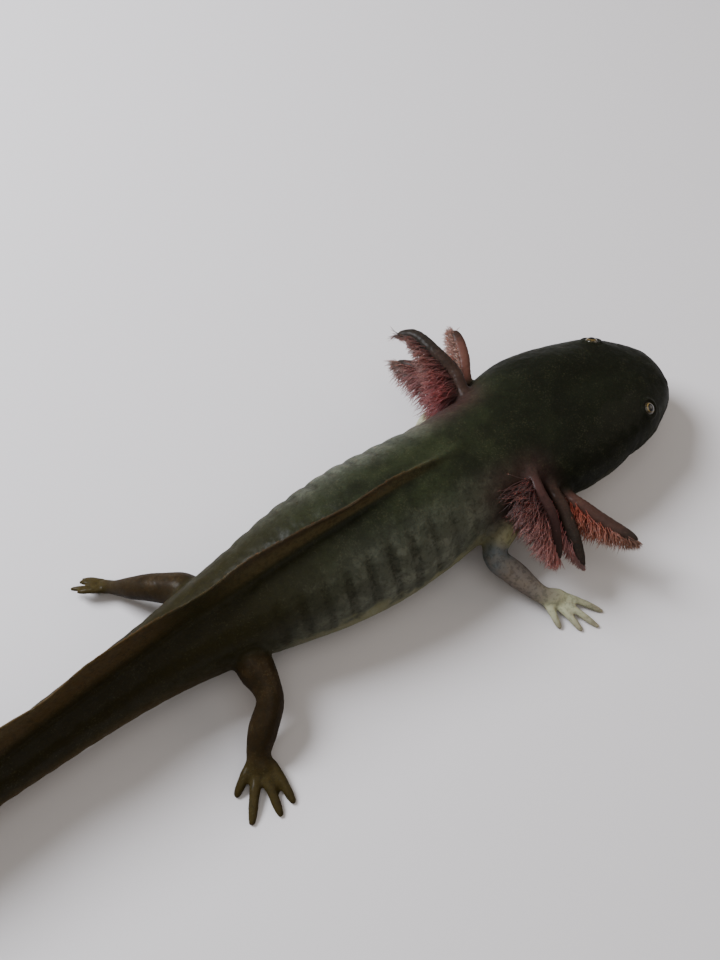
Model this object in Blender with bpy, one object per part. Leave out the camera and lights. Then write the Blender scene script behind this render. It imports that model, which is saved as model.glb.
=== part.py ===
"""A life-size still model of an adult wild-type axolotl standing on its four feet.

The body is a row of cross-sections set square to a spine that runs from the snout (+X) to the
tail tip (-X). The fins stand on its back and belly, and the limbs, gills and eyes are placed on
its surface. Sizes are in millimetres until a mesh is written, which is in metres with +Z up.
"""

import math

import bmesh
import bpy
import numpy as np

MM = 0.001
GAP = 0.3
SPINE_STEP = 0.5
TOTAL_LENGTH = 228.0

# Behind the snout: distance, half width, height of the back, of the belly, and of the widest level
BODY = np.array([
    (0.4, 2.9, 11.5, 7.5, 9.6),
    (1.2, 5.0, 12.8, 6.9, 9.8),
    (2.5, 6.9, 13.9, 6.5, 10.0),
    (4.5, 8.9, 15.1, 6.1, 10.3),
    (7.5, 10.9, 16.6, 5.8, 10.8),
    (11.0, 13.0, 18.0, 5.6, 11.3),
    (15.0, 14.4, 19.2, 5.3, 11.7),
    (21.0, 15.8, 20.6, 4.9, 12.1),
    (27.0, 16.9, 21.6, 4.4, 12.4),
    (32.0, 17.3, 22.2, 4.0, 12.6),
    (38.0, 16.4, 22.8, 3.4, 12.6),
    (46.0, 13.8, 23.7, 2.0, 12.4),
    (56.0, 13.7, 24.6, 0.5, 12.1),
    (66.0, 14.6, 25.4, -0.4, 11.9),
    (78.0, 15.2, 25.8, -0.5, 11.8),
    (90.0, 14.2, 24.6, -0.4, 11.8),
    (100.0, 12.2, 23.1, 0.2, 11.7),
    (109.0, 10.2, 21.5, 1.2, 11.6),
    (117.0, 8.8, 20.6, 2.5, 11.5),
    (126.0, 7.5, 19.2, 3.8, 11.3),
    (138.0, 6.5, 17.7, 4.6, 11.1),
    (152.0, 5.8, 16.3, 5.1, 10.7),
    (170.0, 4.7, 14.7, 5.8, 10.2),
    (190.0, 3.4, 12.9, 6.5, 9.6),
    (210.0, 2.1, 11.1, 7.2, 9.1),
    (222.0, 1.1, 9.9, 7.9, 8.8),
    (227.4, 0.5, 9.2, 8.2, 8.7),
])
SNOUT_TIP_HEIGHT = 9.2
SIDE_FULLNESS = 2.25

# Turn of the spine to the left, in degrees, at distances behind the snout
TURN = np.array([(0, -6), (28, -2), (46, 1.5), (60, 1), (90, -1.7), (122, 1.3), (160, 5.6), (190, 9),
                 (228, 14)])
ORIGIN_AT = 80.0

HEAD_END = 31.5
NECK_END = 45.7
TRUNK_END = 105.5
HIPS_END = 121.0
TAIL_BASE_END = 155.0
TAIL_MIDDLE_END = 192.0

MOUTH_ANGLE = -14.0
MOUTH_HALF_GROOVE = 3.5
MOUTH_CORNER = 19.0
MOUTH_DEPTH = 0.9
LIP_SWELL = 0.3
LIP_WIDTH = 16.0

EYE_AT = 12.0
EYE_ANGLE = 42.0
EYE_RADIUS = 1.75
EYE_SUNK = 0.85
NOSTRIL_AT = 1.7
NOSTRIL_ANGLE = 42.0
NOSTRIL_RADIUS = 0.55

GROOVE_FIRST = 56.0
GROOVE_PITCH = 4.8
GROOVE_COUNT = 11
GROOVE_DEPTH = 0.5
GROOVE_HALF_WIDTH = 0.9
SHOULDER_PITCH = 3.6

# Height of each fin above or below the flesh, at distances behind the snout
UPPER_FIN = np.array([(54, 0.5), (64, 1.6), (80, 2.9), (100, 5.2), (121, 7.0), (142, 9.0), (165, 9.2),
                      (187, 7.6), (206, 5.2), (220, 2.2), (227, 0.6)])
LOWER_FIN = np.array([(124, 0.5), (134, 2.0), (150, 3.9), (170, 4.9), (190, 5.0), (206, 4.0), (220, 2.0),
                      (227, 0.6)])
FIN_ROOT = 1.9
FIN_EDGE = 0.62
# Between root and edge the blade has one more level: its share of the height and of the root
FIN_WAIST_AT = 0.45
FIN_WAIST = 0.62

SKIN = (0.105, 0.100, 0.062)
SKIN_PALE = (0.200, 0.170, 0.105)
LIMB = (0.165, 0.130, 0.090)
GILL = (0.330, 0.090, 0.080)
EYE = (0.030, 0.024, 0.012)


def smooth(table_x, table_y, x):
    """The curve through a table's points, rounded but never beyond them."""
    table_x = np.asarray(table_x, float)
    table_y = np.asarray(table_y, float)
    width = np.diff(table_x)
    rise = np.diff(table_y) / width
    slope = np.concatenate([[rise[0]], np.zeros(len(rise) - 1), [rise[-1]]])
    same_way = rise[:-1] * rise[1:] > 0
    near = 2 * width[1:] + width[:-1]
    far = width[1:] + 2 * width[:-1]
    drag = near[same_way] / rise[:-1][same_way] + far[same_way] / rise[1:][same_way]
    slope[1:-1][same_way] = (near + far)[same_way] / drag
    x = np.clip(np.asarray(x, float), table_x[0], table_x[-1])
    i = np.clip(np.searchsorted(table_x, x, side="right") - 1, 0, len(width) - 1)
    t = (x - table_x[i]) / width[i]
    return (
        (1 + 2 * t) * (1 - t) ** 2 * table_y[i]
        + t * (1 - t) ** 2 * width[i] * slope[i]
        + t * t * (3 - 2 * t) * table_y[i + 1]
        + t * t * (t - 1) * width[i] * slope[i + 1]
    )


def spine_table():
    """Distance behind the snout, X, Y and heading of the spine, sampled along its length."""
    s = np.arange(0, TOTAL_LENGTH + SPINE_STEP, SPINE_STEP)
    heading = np.radians(smooth(TURN[:, 0], TURN[:, 1], s))
    x = -np.concatenate([[0], np.cumsum(np.cos(heading[:-1]) * SPINE_STEP)])
    y = -np.concatenate([[0], np.cumsum(np.sin(heading[:-1]) * SPINE_STEP)])
    return s, x - np.interp(ORIGIN_AT, s, x), y - np.interp(ORIGIN_AT, s, y), heading


SPINE = spine_table()


def on_spine(s, side, height):
    """The point at a distance behind the snout, to the left of the spine, at a height."""
    x, y, heading = (np.interp(s, SPINE[0], column) for column in SPINE[1:])
    return np.array([x - math.sin(heading) * side, y + math.cos(heading) * side, height])


def section(s):
    """Half width and heights of the back, the belly and the widest level."""
    return [float(smooth(BODY[:, 0], BODY[:, column], s)) for column in range(1, 5)]


def groove_dip(s, angle):
    """How deep the costal grooves press into the flank here."""
    nearest = round((s - GROOVE_FIRST) / GROOVE_PITCH)
    if not 0 <= nearest < GROOVE_COUNT:
        return 0.0
    off = abs(s - GROOVE_FIRST - nearest * GROOVE_PITCH) / GROOVE_HALF_WIDTH
    above_side = math.sin(math.radians(angle))
    flank = max(0.0, 1 - (max(0.0, abs(above_side - 0.05) - 0.45) / 0.45) ** 2)
    return GROOVE_DEPTH * max(0.0, 1 - off) * flank


def mouth_dip(s, angle):
    """How deep the line of the mouth presses in, or how far its lips swell out, which is negative."""
    if s > MOUTH_CORNER:
        return 0.0
    above_side = math.degrees(math.asin(math.sin(math.radians(angle))))
    off = abs(above_side - MOUTH_ANGLE)
    fade = min(1.0, 0.45 + s / 5) * min(1.0, (MOUTH_CORNER - s) / 3)
    if off < MOUTH_HALF_GROOVE:
        return fade * MOUTH_DEPTH * (1 - off / MOUTH_HALF_GROOVE)
    if off < LIP_WIDTH:
        across_lip = (off - MOUTH_HALF_GROOVE) / (LIP_WIDTH - MOUTH_HALF_GROOVE)
        return -fade * LIP_SWELL * math.sin(math.pi * across_lip)
    return 0.0


def skin_point(s, angle, grow=0.0):
    """A point of the body's surface. Angle 0 is the left side, 90 the back and -90 the belly."""
    half, back, belly, widest = section(s)
    across = math.cos(math.radians(angle))
    up = math.sin(math.radians(angle))
    power = 2 / SIDE_FULLNESS
    dip = groove_dip(s, angle) + mouth_dip(s, angle) - grow
    reach = (back - widest if up > 0 else widest - belly) - dip
    side = math.copysign(abs(across) ** power, across) * (half - dip)
    height = widest + math.copysign(abs(up) ** power, up) * reach
    if grow == 0:
        height = max(height, 0.0)
    return on_spine(s, side, height)


def skin_normal(s, angle):
    """The way out of the body's surface at a point."""
    along = skin_point(s + 0.5, angle) - skin_point(s - 0.5, angle)
    around = skin_point(s, angle + 3) - skin_point(s, angle - 3)
    out = np.cross(along, around)
    out /= np.linalg.norm(out)
    middle = on_spine(s, 0, section(s)[3])
    return out if out @ (skin_point(s, angle) - middle) > 0 else -out


def even_angles(count):
    return [360 * i / count for i in range(count)]


def head_angles():
    """Where the head's rings have points: even above, and close together at the mouth's line."""
    mouth = [MOUTH_ANGLE + step * MOUTH_HALF_GROOVE for step in (2.6, 1, 0, -1, -2.6)]
    one_side = [78, 65, 52, 39, 26, 13, 3, *mouth, -40, -56, -72]
    return [90, *(180 - a for a in one_side), 270, *reversed(one_side)]


def ring(s, angles, grow=0.0):
    return [skin_point(s, angle, grow) for angle in angles]


def loft(rings, first_tip=None, last_tip=None):
    """A closed skin over rings of equal count, with flat ends or with tips."""
    count = len(rings[0])
    points = [p for one in rings for p in one]
    faces = []
    for i in range(len(rings) - 1):
        for j in range(count):
            k = (j + 1) % count
            faces.append((i * count + j, i * count + k, (i + 1) * count + k, (i + 1) * count + j))
    last = (len(rings) - 1) * count
    if first_tip is None:
        faces.append(tuple(range(count))[::-1])
    else:
        points.append(first_tip)
        faces += [((j + 1) % count, j, len(points) - 1) for j in range(count)]
    if last_tip is None:
        faces.append(tuple(range(last, last + count)))
    else:
        points.append(last_tip)
        faces += [(last + j, last + (j + 1) % count, len(points) - 1) for j in range(count)]
    return points, faces


def material(name, colour, roughness):
    found = bpy.data.materials.new(name)
    found.use_nodes = True
    shader = found.node_tree.nodes["Principled BSDF"]
    shader.inputs["Base Color"].default_value = (*colour, 1)
    shader.inputs["Roughness"].default_value = roughness
    found.diffuse_color = (*colour, 1)
    return found


def make(name, shape, finish=None, smooth_faces=True):
    """An object of these points and faces, with every face turned outwards."""
    points, faces = shape
    mesh = bpy.data.meshes.new(name)
    mesh.from_pydata([[float(v) * MM for v in p] for p in points], [], faces)
    whole = bmesh.new()
    whole.from_mesh(mesh)
    bmesh.ops.recalc_face_normals(whole, faces=whole.faces)
    whole.to_mesh(mesh)
    whole.free()
    if smooth_faces:
        mesh.shade_smooth()
    made = bpy.data.objects.new(name, mesh)
    bpy.context.scene.collection.objects.link(made)
    if finish:
        mesh.materials.append(finish)
    return made


def keep_largest(mesh):
    """Drops every closed surface of the mesh but the one round the most room."""
    whole = bmesh.new()
    whole.from_mesh(mesh)
    left = set(whole.verts)
    islands = []
    while left:
        grown = [left.pop()]
        island = set(grown)
        while grown:
            for edge in grown.pop().link_edges:
                for vert in edge.verts:
                    if vert in left:
                        left.remove(vert)
                        island.add(vert)
                        grown.append(vert)
        islands.append(island)

    def spread(island):
        points = np.array([v.co for v in island])
        return float(np.prod(points.max(0) - points.min(0) + 1e-9))

    islands.sort(key=spread)
    bmesh.ops.delete(whole, geom=[v for island in islands[:-1] for v in island], context="VERTS")
    whole.to_mesh(mesh)
    whole.free()


def combine(base, others, operation, solver="EXACT"):
    """Joins the other closed objects to the base, or cuts them from it, and removes them."""
    group = bpy.data.collections.new(base.name + "_pieces")
    for other in others:
        group.objects.link(other)
    step = base.modifiers.new(operation.lower(), "BOOLEAN")
    step.operation = operation
    step.operand_type = "COLLECTION"
    step.collection = group
    step.solver = solver
    bpy.context.view_layer.update()
    graph = bpy.context.evaluated_depsgraph_get()
    result = bpy.data.meshes.new_from_object(base.evaluated_get(graph))
    base.modifiers.remove(step)
    base.data = result
    for other in others:
        bpy.data.objects.remove(other)
    bpy.data.collections.remove(group)
    keep_largest(base.data)
    return base


# The flesh of the body, from snout to tail tip


def groove_stations(start, end):
    """Where the trunk's rings stand: evenly behind the neck, then at each groove and its two lips."""
    stations = []
    for i in range(GROOVE_COUNT):
        groove = GROOVE_FIRST + i * GROOVE_PITCH
        stations += [groove - GROOVE_HALF_WIDTH, groove, groove + GROOVE_HALF_WIDTH]
    before = np.arange(start, stations[0] - 1.5, SHOULDER_PITCH)
    return [float(s) for s in before] + stations + [end]


def build_body(skin):
    head_stations = [0.4, 1.2, 2.5, 4.5, 7.0, 10.0, 13.0, 16.0, 19.0, 22.5, 27.0, HEAD_END]
    tip = on_spine(0.25, 0, SNOUT_TIP_HEIGHT)
    head = make("head", loft([ring(s, head_angles()) for s in head_stations], first_tip=tip), skin)
    neck_stations = np.linspace(HEAD_END + GAP, NECK_END, 5)
    trunk_stations = groove_stations(NECK_END + GAP, TRUNK_END)
    lengths = (
        ("neck", neck_stations, 26),
        ("trunk", trunk_stations, 24),
        ("hips", np.linspace(TRUNK_END + GAP, HIPS_END, 6), 22),
        ("tail_base", np.linspace(HIPS_END + GAP, TAIL_BASE_END, 8), 18),
        ("tail_middle", np.linspace(TAIL_BASE_END + GAP, TAIL_MIDDLE_END, 8), 16),
    )
    for name, stations, count in lengths:
        make(name, loft([ring(s, even_angles(count)) for s in stations]), skin)
    tail_stations = [*np.linspace(TAIL_MIDDLE_END + GAP, 222, 7), 225.5, 227.4]
    tip = on_spine(TOTAL_LENGTH, 0, section(TOTAL_LENGTH)[3])
    make("tail_tip", loft([ring(s, even_angles(14)) for s in tail_stations], last_tip=tip), skin)
    return head


def body_clearance(name):
    """The body from head to hips, grown by the gap: what limbs and gills are cut back to."""
    ahead = [6, 10, 15, 20, 25, HEAD_END, 35, 38.5, 42]
    stations = [*ahead, *groove_stations(NECK_END, TRUNK_END), 109, 115, HIPS_END]
    return make(name, loft([ring(s, even_angles(24), GAP) for s in stations]))


# Eyes and nostrils


def ball(name, centre, radius, finish=None, segments=14, rings=10):
    rows = []
    for i in range(1, rings):
        lean = math.pi * i / rings
        rows.append([
            centre
            + radius * np.array([math.sin(lean) * math.cos(t), math.sin(lean) * math.sin(t), math.cos(lean)])
            for t in np.linspace(0, 2 * math.pi, segments, endpoint=False)
        ])
    top = centre + np.array([0, 0, radius])
    bottom = centre - np.array([0, 0, radius])
    return make(name, loft(rows, top, bottom), finish)


def build_eyes_and_nostrils(head, finish):
    cutters = []
    for side, angle in (("left", EYE_ANGLE), ("right", 180 - EYE_ANGLE)):
        centre = skin_point(EYE_AT, angle) - skin_normal(EYE_AT, angle) * EYE_SUNK
        ball("eye_" + side, centre, EYE_RADIUS, finish, 12, 8)
        cutters.append(ball("socket_" + side, centre, EYE_RADIUS + GAP, None, 12, 8))
    for angle in (NOSTRIL_ANGLE, 180 - NOSTRIL_ANGLE):
        centre = skin_point(NOSTRIL_AT, angle)
        cutters.append(ball("nostril", centre, NOSTRIL_RADIUS, None, 8, 6))
    combine(head, cutters, "DIFFERENCE")


# Fins: thin blades that stand on the back and hang under the tail


def blade(name, table, start, end, count, upward, finish):
    """A fin of three levels, root, middle and edge, split into triangles alike on both faces."""
    rows = []
    way = 1 if upward else -1
    for s in np.linspace(start, end, count):
        half, back, belly, _ = section(s)
        foot = back + GAP if upward else belly - GAP
        height = float(smooth(table[:, 0], table[:, 1], s))
        root = min(FIN_ROOT, half * 1.1) / 2
        edge = min(FIN_EDGE, FIN_ROOT) / 2
        levels = ((root, 0.0), (root * FIN_WAIST, FIN_WAIST_AT), (edge, 1.0))
        left = [on_spine(s, thick, foot + way * height * share) for thick, share in levels]
        right = [on_spine(s, -thick, foot + way * height * share) for thick, share in reversed(levels)]
        rows.append(left + right)
    width = len(rows[0])
    points = [p for row in rows for p in row]
    faces = [tuple(range(width)), tuple(range((count - 1) * width, count * width))]
    for i in range(count - 1):
        for j in range(width):
            k = (j + 1) % width
            a, b, c, d = i * width + j, i * width + k, (i + 1) * width + k, (i + 1) * width + j
            faces += [(a, b, c), (a, c, d)] if j < width // 2 else [(a, b, d), (b, c, d)]
    return make(name, (points, faces), finish)


def build_fins(skin):
    blade("back_fin", UPPER_FIN, UPPER_FIN[0, 0], HIPS_END, 16, True, skin)
    blade("tail_fin_upper", UPPER_FIN, HIPS_END + GAP, UPPER_FIN[-1, 0], 26, True, skin)
    blade("tail_fin_lower", LOWER_FIN, LOWER_FIN[0, 0], LOWER_FIN[-1, 0], 24, False, skin)


# Tubes along a smooth path: limbs, digits and gill stalks


def path_through(points, spacing=0.25):
    """Points close together on a rounded curve through the given ones."""
    points = np.array(points, float)
    reach = np.concatenate([[0], np.cumsum(np.linalg.norm(np.diff(points, axis=0), axis=1) ** 0.5)])
    straight = np.linalg.norm(np.diff(points, axis=0), axis=1).sum()
    fine = np.linspace(0, reach[-1], max(12, int(straight / spacing)))
    tangent = np.gradient(points, reach, axis=0)
    i = np.clip(np.searchsorted(reach, fine, side="right") - 1, 0, len(points) - 2)
    width = (reach[i + 1] - reach[i])[:, None]
    t = ((fine - reach[i])[:, None]) / width
    curve = (
        (1 + 2 * t) * (1 - t) ** 2 * points[i]
        + t * (1 - t) ** 2 * width * tangent[i]
        + t * t * (3 - 2 * t) * points[i + 1]
        + t * t * (t - 1) * width * tangent[i + 1]
    )
    length = np.concatenate([[0], np.cumsum(np.linalg.norm(np.diff(curve, axis=0), axis=1))])
    return length, curve


def point_on(path, at):
    """The point at a length along a path, or its end."""
    return np.array([np.interp(at, path[0], path[1][:, axis]) for axis in range(3)])


def tube_rings(path, stations, sizes, count, turns=None):
    """Rings across a path at lengths along it. Sizes give (half width, half thickness) at each."""
    rings = []
    for n, at in enumerate(stations):
        centre = point_on(path, at)
        toward = at if turns is None else turns[n]
        ahead = point_on(path, toward + 0.4)
        behind = point_on(path, toward - 0.4)
        way = (ahead - behind) / np.linalg.norm(ahead - behind)
        side = np.cross((0, 0, 1), way)
        side /= np.linalg.norm(side)
        up = np.cross(way, side)
        wide, thick = sizes[n]
        rings.append([
            centre + side * wide * math.cos(t) + up * thick * math.sin(t)
            for t in np.linspace(0, 2 * math.pi, count, endpoint=False)
        ])
    return rings


def above_floor(shape):
    """The shape with what reaches under the floor pressed flat onto it."""
    points, faces = shape
    return [np.array([p[0], p[1], max(p[2], 0.0)]) for p in points], faces


# A digit's half thickness at shares of its length
DIGIT = ((0.0, 0.95), (0.35, 0.82), (0.65, 0.65), (0.88, 0.52), (0.97, 0.35))
DIGIT_FLATNESS = 1.1
DIGIT_ROOT_HEIGHT = 1.1
# A digit whose tip is off the floor, as on a foot that leans on its edge, has a higher root as well
ROOT_LIFT = 0.3
DIGIT_ARCH = 0.4
DIGIT_SIDES = 7
LIMB_SIDES = 10
# How far the digits' roots spread across the palm, and how far back towards the wrist they spring. The
# first one springs close to the wrist, like a thumb
PALM_SPREAD = 0.62
PALM_OVERLAP = 0.35
FIRST_SPREAD = 0.5
FIRST_OVERLAP = 0.8


def digit(name, root, tip, size):
    """A finger or toe, arched a little from its root to its tip."""
    tip = np.array(tip, float)
    middle = (root + tip) / 2 + np.array([0, 0, DIGIT_ARCH])
    path = path_through([root, middle, tip])
    stations = [path[0][-1] * share for share, _ in DIGIT]
    sizes = [(thick * size * DIGIT_FLATNESS, thick * size) for _, thick in DIGIT]
    rings = tube_rings(path, stations, sizes, DIGIT_SIDES)
    return make(name, above_floor(loft(rings, last_tip=path[1][-1])))


# Each limb: where it leaves the body, its two joints and its palm, with the half width and half
# thickness at each, then the tips of its digits and how thick these are
LIMBS = {
    "front_right": {
        "bones": ("upper_arm", "forearm", "hand"),
        "line": [(29.5, -6.0, 11.0), (27.4, -13.0, 11.0), (21.8, -17.2, 8.6), (23.6, -21.9, 6.0),
                 (26.5, -28.3, 3.2), (29.4, -30.5, 1.8)],
        "girth": [(3.3, 3.4), (3.1, 3.2), (2.6, 2.6), (2.6, 2.4), (1.9, 1.7), (2.1, 1.3)],
        "tips": [(25.8, -35.5, 0.2), (29.2, -38.5, 0.2), (32.6, -39.8, 0.2), (35.6, -37.6, 0.2)],
        "digit": 0.95,
    },
    "front_left": {
        "bones": ("upper_arm", "forearm", "hand"),
        "line": [(30.0, 5.5, 8.8), (28.0, 10.4, 7.0), (24.6, 14.6, 5.0), (26.0, 17.6, 3.8),
                 (29.4, 18.8, 2.6), (32.2, 19.2, 1.8)],
        "girth": [(2.9, 3.0), (2.7, 2.8), (2.2, 2.2), (2.1, 2.0), (1.8, 1.6), (2.1, 1.3)],
        "tips": [(35.0, 23.4, 0.2), (38.6, 22.4, 0.2), (40.0, 19.2, 0.2), (38.0, 16.2, 0.2)],
        "digit": 0.95,
    },
    "hind_right": {
        "bones": ("thigh", "shank", "foot"),
        "line": [(-31.5, -4.0, 10.0), (-31.6, -11.1, 10.0), (-32.5, -17.4, 8.4), (-36.6, -21.0, 5.8),
                 (-39.5, -23.8, 3.2), (-40.3, -26.6, 1.8)],
        "girth": [(3.6, 3.7), (3.3, 3.5), (2.7, 2.8), (2.9, 2.6), (2.4, 1.8), (2.7, 1.4)],
        "tips": [(-47.2, -27.5, 0.2), (-47.5, -33.8, 0.2), (-42.0, -35.6, 0.2), (-40.4, -31.6, 0.2),
                 (-38.6, -34.8, 0.2)],
        "digit": 1.1,
    },
    "hind_left": {
        "bones": ("thigh", "shank", "foot"),
        "line": [(-33.0, 3.0, 10.0), (-34.7, 10.6, 9.8), (-38.9, 15.9, 8.0), (-42.7, 19.8, 5.6),
                 (-45.3, 23.1, 3.2), (-46.8, 25.3, 2.0)],
        "girth": [(3.6, 3.7), (3.4, 3.4), (3.0, 2.8), (2.3, 2.3), (1.5, 1.6), (1.3, 1.2)],
        "tips": [(-49.2, 29.6, 0.3), (-51.0, 30.1, 0.9), (-52.6, 30.0, 1.5), (-53.0, 29.0, 2.2),
                 (-52.0, 27.0, 2.9)],
        "digit": 0.8,
    },
}


def build_limb(name, limb, finish):
    length, curve = path_through(limb["line"])
    line = np.array(limb["line"])
    stops = [float(length[np.argmin(np.linalg.norm(curve - p, axis=1))]) for p in line]
    girth = np.array(limb["girth"])

    def size_at(at):
        return [float(smooth(stops, girth[:, k], at)) for k in (0, 1)]

    def stretch(start, end, count):
        """Rings from one joint to the next, with square ends half a gap short of each joint."""
        stations = np.linspace(start + GAP / 2, end - GAP / 2, count)
        turns = [start, *stations[1:-1], end]
        return tube_rings((length, curve), stations, [size_at(at) for at in stations], LIMB_SIDES, turns)

    upper, lower, end = limb["bones"]
    elbow, wrist = stops[2], stops[4]
    top = make(f"{name}_{upper}", loft(stretch(-GAP / 2, elbow, 8)), finish)
    combine(top, [body_clearance("clearance")], "DIFFERENCE")
    make(f"{name}_{lower}", loft(stretch(elbow, wrist, 8)), finish)
    palm = make(f"{name}_{end}", above_floor(loft(stretch(wrist, stops[5] + GAP / 2, 4))), finish)
    heel, knuckle = line[4], line[5]
    across = np.cross((0, 0, 1), knuckle - heel)
    across /= np.linalg.norm(across)
    digits = []
    for i, tip in enumerate(limb["tips"]):
        share = i / (len(limb["tips"]) - 1) * 2 - 1
        toward = np.sign(across @ (np.array(limb["tips"][-1]) - np.array(limb["tips"][0])))
        spread, overlap = (PALM_SPREAD, PALM_OVERLAP) if i else (FIRST_SPREAD, FIRST_OVERLAP)
        root = knuckle + across * toward * share * girth[5, 0] * spread - (knuckle - heel) * overlap
        root[2] = DIGIT_ROOT_HEIGHT + ROOT_LIFT * tip[2] + (heel[2] - knuckle[2]) * overlap
        digits.append(digit(f"digit_{i}", root, tip, limb["digit"]))
    combine(palm, digits, "UNION")


# Gills: three stalks a side, each with two rows of filaments along its rear edge

# A stalk's half width at shares of its length, up to where it is fullest. From there it runs out, with
# a soft shoulder, to its own half width at the tip
STALK_AT = (0.0, 0.35, 0.65, 0.85, 1.0)
STALK_GIRTH = (1.6, 1.55, 1.5)
STALK_SHOULDER = 0.12
STALK_SIDES = 8
STALK_SUNK = 3.0
FILAMENT_SEED = 7
FILAMENT_FIRST = 4.6
FILAMENT_PITCH = 1.2
FILAMENT_HALF = 0.36
FILAMENT_DROOP = 0.10
# A filament's thickness at shares of its length, before it runs out in a point
FILAMENT_TAPER = ((0.0, 1.0), (0.45, 0.92), (0.8, 0.66))
# Near a stalk's tip its filaments are shorter by this share as well
SHORTER_AT_TIP = 0.6
ROW_LIFT = 0.32
# Where each stalk leaves the neck and the points it curves through, its half width at the tip, the lie
# of its filaments (back, down and along the stalk), their length near the root, and how much shorter
# they get along it
GILLS = {
    "gill_right_front": {
        "root": (40.0, 176), "through": [(41.3, -20.5, 13.8), (43.0, -25.5, 13.2), (46.5, -32.5, 12.0)],
        "tip": 0.8, "lie": (0.55, 0.75, 0.45), "longest": 6.0, "shorter": 0.5,
    },
    "gill_right_middle": {
        "root": (42.5, 162), "through": [(37.0, -18.5, 15.6), (35.9, -23.4, 13.8), (34.6, -30.3, 10.0)],
        "tip": 0.4, "lie": (0.75, 0.6, 0.4), "longest": 6.5, "shorter": 0.75,
    },
    "gill_right_rear": {
        "root": (45.4, 143), "through": [(33.4, -15.0, 19.2), (33.2, -18.8, 17.4), (31.0, -26.6, 11.0)],
        "tip": 0.5, "lie": (0.95, 0.15, 0.35), "longest": 7.0, "shorter": 0.5,
    },
    "gill_left_front": {
        "root": (40.2, 2), "through": [(42.2, 20.5, 14.0), (44.4, 24.9, 15.0), (45.7, 29.5, 16.0)],
        "tip": 1.2, "lie": (0.8, 0.4, 0.3), "longest": 4.0, "shorter": 0.5,
    },
    "gill_left_middle": {
        "root": (43.2, 12), "through": [(37.0, 19.0, 15.0), (35.4, 23.6, 15.0), (31.6, 31.4, 13.4)],
        "tip": 0.5, "lie": (0.6, 0.85, 0.05), "longest": 9.5, "shorter": 0.5,
    },
    "gill_left_rear": {
        "root": (44.0, 30), "through": [(37.2, 17.5, 19.3), (36.6, 24.5, 20.4), (35.6, 30.8, 20.3),
                                        (33.1, 33.8, 19.0)],
        "tip": 0.9, "lie": (0.95, 0.25, 0.15), "longest": 9.0, "shorter": 0.9,
    },
}


def stalk_girth(share, tip):
    """A stalk's half width at a share of its length."""
    full = STALK_GIRTH[-1]
    return smooth(STALK_AT, (*STALK_GIRTH, (full + tip) / 2 + STALK_SHOULDER, tip), share)


def filament(name, root, way, length):
    """A tapered three-sided strand that droops towards its tip."""
    way = np.array(way, float) / np.linalg.norm(way)
    side = np.cross(way, (0, 0, 1))
    side /= np.linalg.norm(side)
    up = np.cross(side, way)
    rings = []
    for share, size in FILAMENT_TAPER:
        centre = root + way * length * share - np.array([0, 0, FILAMENT_DROOP * length * share * share])
        rings.append([
            centre + (side * math.cos(t) + up * math.sin(t)) * FILAMENT_HALF * size
            for t in (math.pi / 2, math.pi * 7 / 6, math.pi * 11 / 6)
        ])
    tip = root + way * length - np.array([0, 0, FILAMENT_DROOP * length])
    return make(name, loft(rings, last_tip=tip), None, False)


def build_gill(name, gill, finish, draw):
    through, tip = gill["through"], gill["tip"]
    base = skin_point(*gill["root"])
    inward = base - np.array(through[0])
    inward /= np.linalg.norm(inward)
    path = path_through([base + inward * STALK_SUNK, base, *through])
    end = path[0][-1]
    stations = np.linspace(0, end * 0.97, 11)
    girth = stalk_girth(stations / end, tip)
    rings = tube_rings(path, stations, [(g, g * 0.9) for g in girth], STALK_SIDES)
    stalk = make(name, loft(rings, last_tip=path[1][-1]), finish)
    back, down, along = gill["lie"]
    strands = []
    for row_number, lift in enumerate((ROW_LIFT, -ROW_LIFT)):
        for at in np.arange(FILAMENT_FIRST + row_number * FILAMENT_PITCH / 2, end - 0.8, FILAMENT_PITCH):
            share = at / end
            centre = point_on(path, at)
            forward = point_on(path, at + 0.5) - centre
            forward /= np.linalg.norm(forward)
            way = np.array([-back, 0, -down + lift]) + forward * (along + 0.9 * share ** 3)
            length = gill["longest"] * (1 - gill["shorter"] * share) * (1 - SHORTER_AT_TIP * share ** 4)
            length = length * draw.uniform(0.88, 1.08) + float(stalk_girth(share, tip))
            strands.append(filament(f"strand_{len(strands)}", centre, way, length))
    combine(stalk, strands, "UNION")
    combine(stalk, [body_clearance("clearance")], "DIFFERENCE")


def centre_on_floor():
    """Moves every mesh so that the middle of the model's base is the origin."""
    meshes = [o for o in bpy.context.scene.objects if o.type == "MESH"]
    corners = np.array([v.co for o in meshes for v in o.data.vertices])
    low, high = corners.min(0), corners.max(0)
    shift = np.array([(low[0] + high[0]) / 2, (low[1] + high[1]) / 2, low[2]])
    for o in meshes:
        for v in o.data.vertices:
            v.co = v.co - type(v.co)(shift)


def main():
    for o in list(bpy.data.objects):
        bpy.data.objects.remove(o)
    skin = material("skin", SKIN, 0.45)
    fin_skin = material("fin_skin", SKIN_PALE, 0.42)
    limb_skin = material("limb_skin", LIMB, 0.45)
    gill_flesh = material("gill_flesh", GILL, 0.4)
    eye_glass = material("eye", EYE, 0.08)
    head = build_body(skin)
    build_eyes_and_nostrils(head, eye_glass)
    build_fins(fin_skin)
    for name, limb in LIMBS.items():
        build_limb(name, limb, limb_skin)
    draw = np.random.RandomState(FILAMENT_SEED)
    for name, gill in GILLS.items():
        build_gill(name, gill, gill_flesh, draw)
    centre_on_floor()


main()
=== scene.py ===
import math

import bmesh
import bpy
import numpy as np
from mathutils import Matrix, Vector, noise


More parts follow.
